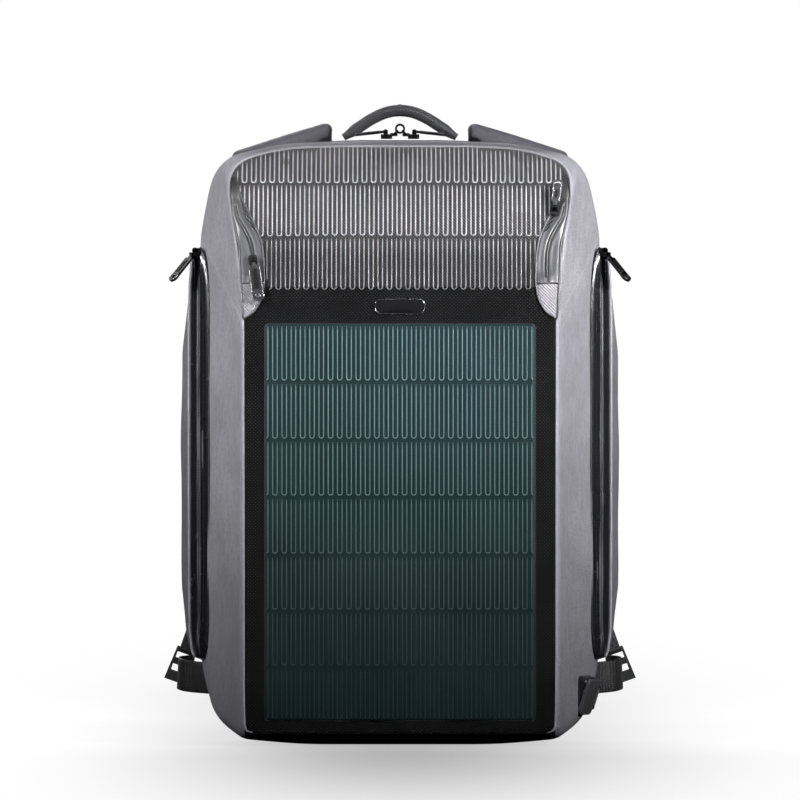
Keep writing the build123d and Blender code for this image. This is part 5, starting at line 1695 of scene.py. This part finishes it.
def inlays(name, body_name, pin, d, zz, length, width):
    """Black tapered inlay on both faces of a pull, with a bright rim round it."""
    pin, d, zz = (np.array(v, float) for v in (pin, d, zz))
    d /= np.linalg.norm(d)
    zz /= np.linalg.norm(zz)
    y = np.cross(zz, d)
    cx_ = length - width / 2
    s0, s1 = 7.2, cx_ - 4.8
    w0, w1 = (width - 4.9) / 2 * 0.8, (width - 4.9) / 2
    loop = [(s0 + w0 - w0 * math.sin(a), w0 * math.cos(a)) for a in np.linspace(0, math.pi, 9)] + [(s1 - w1 + w1 * math.sin(a), -w1 * math.cos(a)) for a in np.linspace(0, math.pi, 9)]
    loop = np.array(loop)
    c = loop.mean(0)
    verts, faces = [], []
    for sg in (1, -1):
        base = len(verts)
        for k, h in ((1.0, 0.62), (0.97, 0.98), (0.8, 1.06), (0.3, 1.06)):
            for q in loop:
                r_ = c + (q - c) * k
                verts.append(pin + d * r_[0] + y * r_[1] + zz * h * sg)
        n_ = len(loop)
        for l in range(3):
            for j in range(n_):
                a, b = base + l * n_ + j, base + l * n_ + (j + 1) % n_
                faces.append((a, b, b + n_, a + n_) if sg > 0 else (b, a, a + n_, b + n_))
        faces.append([base + 3 * n_ + j for j in range(n_)][::(1 if sg > 0 else -1)])
        faces.append([base + j for j in range(n_)][::(-1 if sg > 0 else 1)])
    ob = mesh(name, verts, faces, None, inlay)
    # bright polished rim round the tab's outline, and round its end hole
    rim = []
    w2 = (width - 1.2) / 2
    out_ = [(4.6, w2)] + [(x, w2) for x in np.linspace(6, cx_ - 1.5, 8)] + [(cx_ + width / 2 * math.sin(a), width / 2 * math.cos(a)) for a in np.linspace(0.25, math.pi - 0.25, 12)] + [(x, -w2) for x in np.linspace(cx_ - 1.5, 6, 8)] + [(4.6, -w2)]
    for sg in (1, -1):
        q = np.array([pin + d * (a * 0.995) + y * (b * 0.97) + zz * 0.86 * sg for a, b in out_])
        rim.append(sweep("x", q, circle(0.2, 6), bright_edge, up=np.tile(zz * sg, (len(q), 1))))
        hole = np.array([pin + d * (cx_ + 0.4 + 1.95 * math.cos(a)) + y * 1.95 * math.sin(a) + zz * 0.86 * sg for a in np.linspace(0, 2 * math.pi, 18, endpoint=False)])
        rim.append(sweep("x", hole, circle(0.18, 6), bright_edge, up=np.tile(zz * sg, (18, 1)), closed=True))
    rm = join(rim, name + "_rim")
    for o in (ob, rm):
        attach(o, body_name)


def rad(v):
    return math.radians(v)


for side in ("left", "right"):
    m_ = np.array([1.0 if side == "left" else -1.0, 1, 1])
    sn_ = np.array([-0.7885, -0.6150, 0])
    a = rad(45)
    inlays(f"side_pull_inlay_{side}", f"side_pull_{side}", np.array([-158.848, -24.867, 374.5]) * m_, (np.array([0, 0, -1.0]) * math.cos(a) + sn_ * math.sin(a)) * m_, (np.array([0, 0, 1.0]) * math.sin(a) + sn_ * math.cos(a)) * m_, 29.0, 8.8)
    a = rad(-6)
    tn_ = np.array([0.0, -0.0995, 0.9950])
    inlays(f"main_pull_inlay_{side}", f"main_pull_{side}", np.array([-11.0, 24.2935, 469.5648]) * m_, (np.array([-1.0, 0, 0]) * math.cos(a) + tn_ * math.sin(a)) * m_, (np.array([1.0, 0, 0]) * math.sin(a) + tn_ * math.cos(a)) * m_, 24.0, 7.4)
ct, cn = np.array([-0.13813, 0.30987, 0.94069]), np.array([0, -0.9498, 0.3129])
a = rad(-6)
inlays("corner_pull_inlay_left", "corner_pull_left", (-111.6, -91.0859, 369.1907), -ct * math.cos(a) + cn * math.sin(a), ct * math.sin(a) + cn * math.cos(a), 32.0, 9.6)
rt_ = ct * np.array([-1, 1, 1])
a = rad(6)
inlays("corner_pull_inlay_right", "corner_pull_right", (117.6, -77.7447, 409.6907), rt_ * math.cos(a) + cn * math.sin(a), -rt_ * math.sin(a) + cn * math.cos(a), 22.0, 7.0)

# ------------------------------------------------------------------ inside
X, Z = np.meshgrid(np.linspace(-84, 84, 60), np.linspace(12, 319, 80))
g = np.stack([X, -71.6 + 0.9 * np.sin(X * 0.05) * np.sin(Z * 0.03) + 0.5 * np.sin(X * 0.11 + 1), Z], 2)
lin = sheet_shell("lining_curtain", g, 0.9, lining_cloth, np.stack([X, Z], 2), outward=(0, 1, 0))
top_b = sweep("x", np.stack([np.linspace(-84, 84, 50), np.interp(np.linspace(-84, 84, 50), X[-1], g[-1, :, 1]), np.full(50, 319.2)], 1), circle(1.1, 8), grey_light)
mesh_pocket = np.stack([X[:30, 8:-8], -70.0 + 2.2 * np.sin((Z[:30, 8:-8] - 12) / 115 * math.pi) * np.cos(X[:30, 8:-8] / 90), Z[:30, 8:-8] + 6], 2)
pk2 = sheet_shell("x", mesh_pocket, 0.6, mesh_pad, np.stack([X[:30, 8:-8], Z[:30, 8:-8]], 2), outward=(0, 1, 0))
b2 = sweep("x", mesh_pocket[-1], circle(1.3, 8), grey_light)
org = join([top_b, pk2, b2], "lining_pocket_and_binding")
X, Z = np.meshgrid(np.linspace(-112, 112, 60), np.linspace(12, 331, 80))
e = np.minimum(np.minimum(112 - abs(X), 331 - Z), Z - 12)
puffy = sstep(0, 14, e)
chan = sum(np.exp(-((X - c_) / 2.2) ** 2) for c_ in (-74, -37, 0, 37, 74))
gf = np.stack([X, 52.6 - 3.4 * puffy * (1 - 0.55 * np.clip(chan, 0, 1)), Z], 2)
gb = np.stack([X, 53.4 + 2.4 * puffy, Z], 2)
r_, c_ = gf.shape[:2]
v = np.concatenate([gf.reshape(-1, 3), gb.reshape(-1, 3)])
f = grid_faces(r_, c_, 0, False) + grid_faces(r_, c_, r_ * c_, True)
rim = [(0, j) for j in range(c_)] + [(i, c_ - 1) for i in range(1, r_)] + [(r_ - 1, j) for j in range(c_ - 2, -1, -1)] + [(i, 0) for i in range(r_ - 2, 0, -1)]
for q in range(len(rim)):
    (ia, ja), (ib, jb) = rim[q], rim[(q + 1) % len(rim)]
    a_, b_ = ia * c_ + ja, ib * c_ + jb
    f.append((b_, a_, a_ + r_ * c_, b_ + r_ * c_))
slv = mesh("laptop_sleeve_pad", v, f, np.concatenate([gf[..., (0, 2)].reshape(-1, 2), gb[..., (0, 2)].reshape(-1, 2)]), lining_cloth)
for o in (lin, org, slv):
    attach(o, "bag")
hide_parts("inner_lining")
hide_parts("laptop_sleeve")

# ------------------------------------------------------------------ riding
for o in (side_cloth, base_cloth, back_cloth, front_piping_low, rear_pipe, crease_stitch_low, film_panel_ob, film_lines):
    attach(o, "bag")
for o in (flap_gusset, front_piping_top, crease_stitch_top, pattern_lines):
    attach(o, "top_flap")
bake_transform(front_cloth)
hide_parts("side_panel_left", "side_panel_right")
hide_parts("base_panel")
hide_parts("back_panel", "rear_piping")
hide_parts("flap_side_left", "flap_side_right")
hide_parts("front_fabric_lower", "front_fabric_upper", "front_panel", "flap_front_panel")
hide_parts("top_piping")
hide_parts("solar_cover_film")

# ------------------------------------------------------------------ studio
def light(name, kind, loc, aim, energy, size=(1, 1), color=(1, 1, 1), spread=None):
    l = bpy.data.lights.new(name, kind)
    l.energy = energy
    l.color = color
    if kind == "AREA":
        l.shape = "RECTANGLE"
        l.size, l.size_y = size
        if spread:
            l.spread = math.radians(spread)
    o = bpy.data.objects.new(name, l)
    bpy.context.scene.collection.objects.link(o)
    o.location = loc
    o.rotation_euler = (Vector(aim) - Vector(loc)).to_track_quat("-Z", "Y").to_euler()
    return o


def backdrop():
    """Floor that glows white, with a painted shadow: the glow dims in a soft oval round the bag."""
    prof_ = [(y, 0) for y in (-14000, -7000, 0, 7000, 14000)]
    v = [(x, y, z - 0.3) for y, z in prof_ for x in (-14000, 14000)]
    f = [(2 * i, 2 * i + 1, 2 * i + 3, 2 * i + 2) for i in range(len(prof_) - 1)]
    n = Net("studio_floor", rough=0.8, spec=0.05)
    n.b.inputs["Emission Color"].default_value = (1, 1, 1, 1)
    ex, ey, ez = n.uv(True)
    # painted shadow: emission falls from 1.0 to 0.44 at the bag and recovers over a soft oval round its footprint
    back = n.mul(n.f("MAXIMUM", n.add(ey, 0.15), 0.0), 1 / 1.85)
    fore = n.mul(n.f("MAXIMUM", n.mul(n.add(ey, 0.15), -1.0), 0.0), 1 / 0.9)
    q = n.add(n.mul(n.mul(ex, ex), 1 / 0.125 ** 2), n.add(n.mul(back, back), n.mul(fore, fore)))
    painted_shadow = n.f("EXPONENT", n.mul(q, -0.5))
    n.put(n.b.inputs["Emission Strength"], n.f("MULTIPLY_ADD", painted_shadow, -0.56, 1.0))
    s = n.noise(0.6, 3)
    n.colour(n.mix(n.ramp(s, 0.3, 0.7), (0.10, 0.10, 0.101), (0.11, 0.11, 0.11)))
    n.bump(n.noise(40, 2), 0.0001)
    return mesh("studio_backdrop", v, f, None, n.m)


floor_ob = backdrop()
floor_ob.visible_diffuse = False
floor_ob.visible_glossy = False
wd = bpy.data.worlds.new("studio")
bpy.context.scene.world = wd
wd.use_nodes = True
bg = wd.node_tree.nodes["Background"]
bg.inputs[0].default_value = (1, 1, 1, 1)
bg.inputs[1].default_value = 1.0
wd.cycles_visibility.diffuse = False
wd.cycles_visibility.glossy = False
light("key", "AREA", (0.22, -1.45, 1.20), (0.0, -0.09, 0.435), 0.44, (0.9, 0.3), spread=36)
light("key_right", "AREA", (1.12, -1.15, 0.82), (0.14, -0.05, 0.385), 2.4, (0.3, 0.4), spread=27)
light("fill_left", "AREA", (-1.12, -1.15, 0.82), (-0.14, -0.05, 0.38), 1.38, (0.3, 0.4), spread=27)
light("top", "AREA", (0, 0.5, 1.3), (0, 0.02, 0.45), 0.1, (1.0, 0.4))
light("back", "AREA", (-0.7, 1.7, 1.1), (0, 0.1, 0.25), 3.0, (1.4, 0.9), spread=70)
light("front_soft", "AREA", (0, -3.4, 0.9), (0, 0, 0.25), 1.5, (2.4, 1.6))
for o in bpy.context.scene.objects:
    if o.type == "LIGHT":
        o.visible_camera = False
cam = bpy.data.cameras.new("camera")
cam.lens, cam.sensor_width, cam.clip_end = 533.0, 36.0, 60.0
cam_o = bpy.data.objects.new("camera", cam)
bpy.context.scene.collection.objects.link(cam_o)
cam_o.location = (0, -9.09, 0.263)
cam_o.rotation_euler = (math.radians(90), 0, 0)
bpy.context.scene.camera = cam_o
bpy.context.scene.view_settings.view_transform = "Standard"
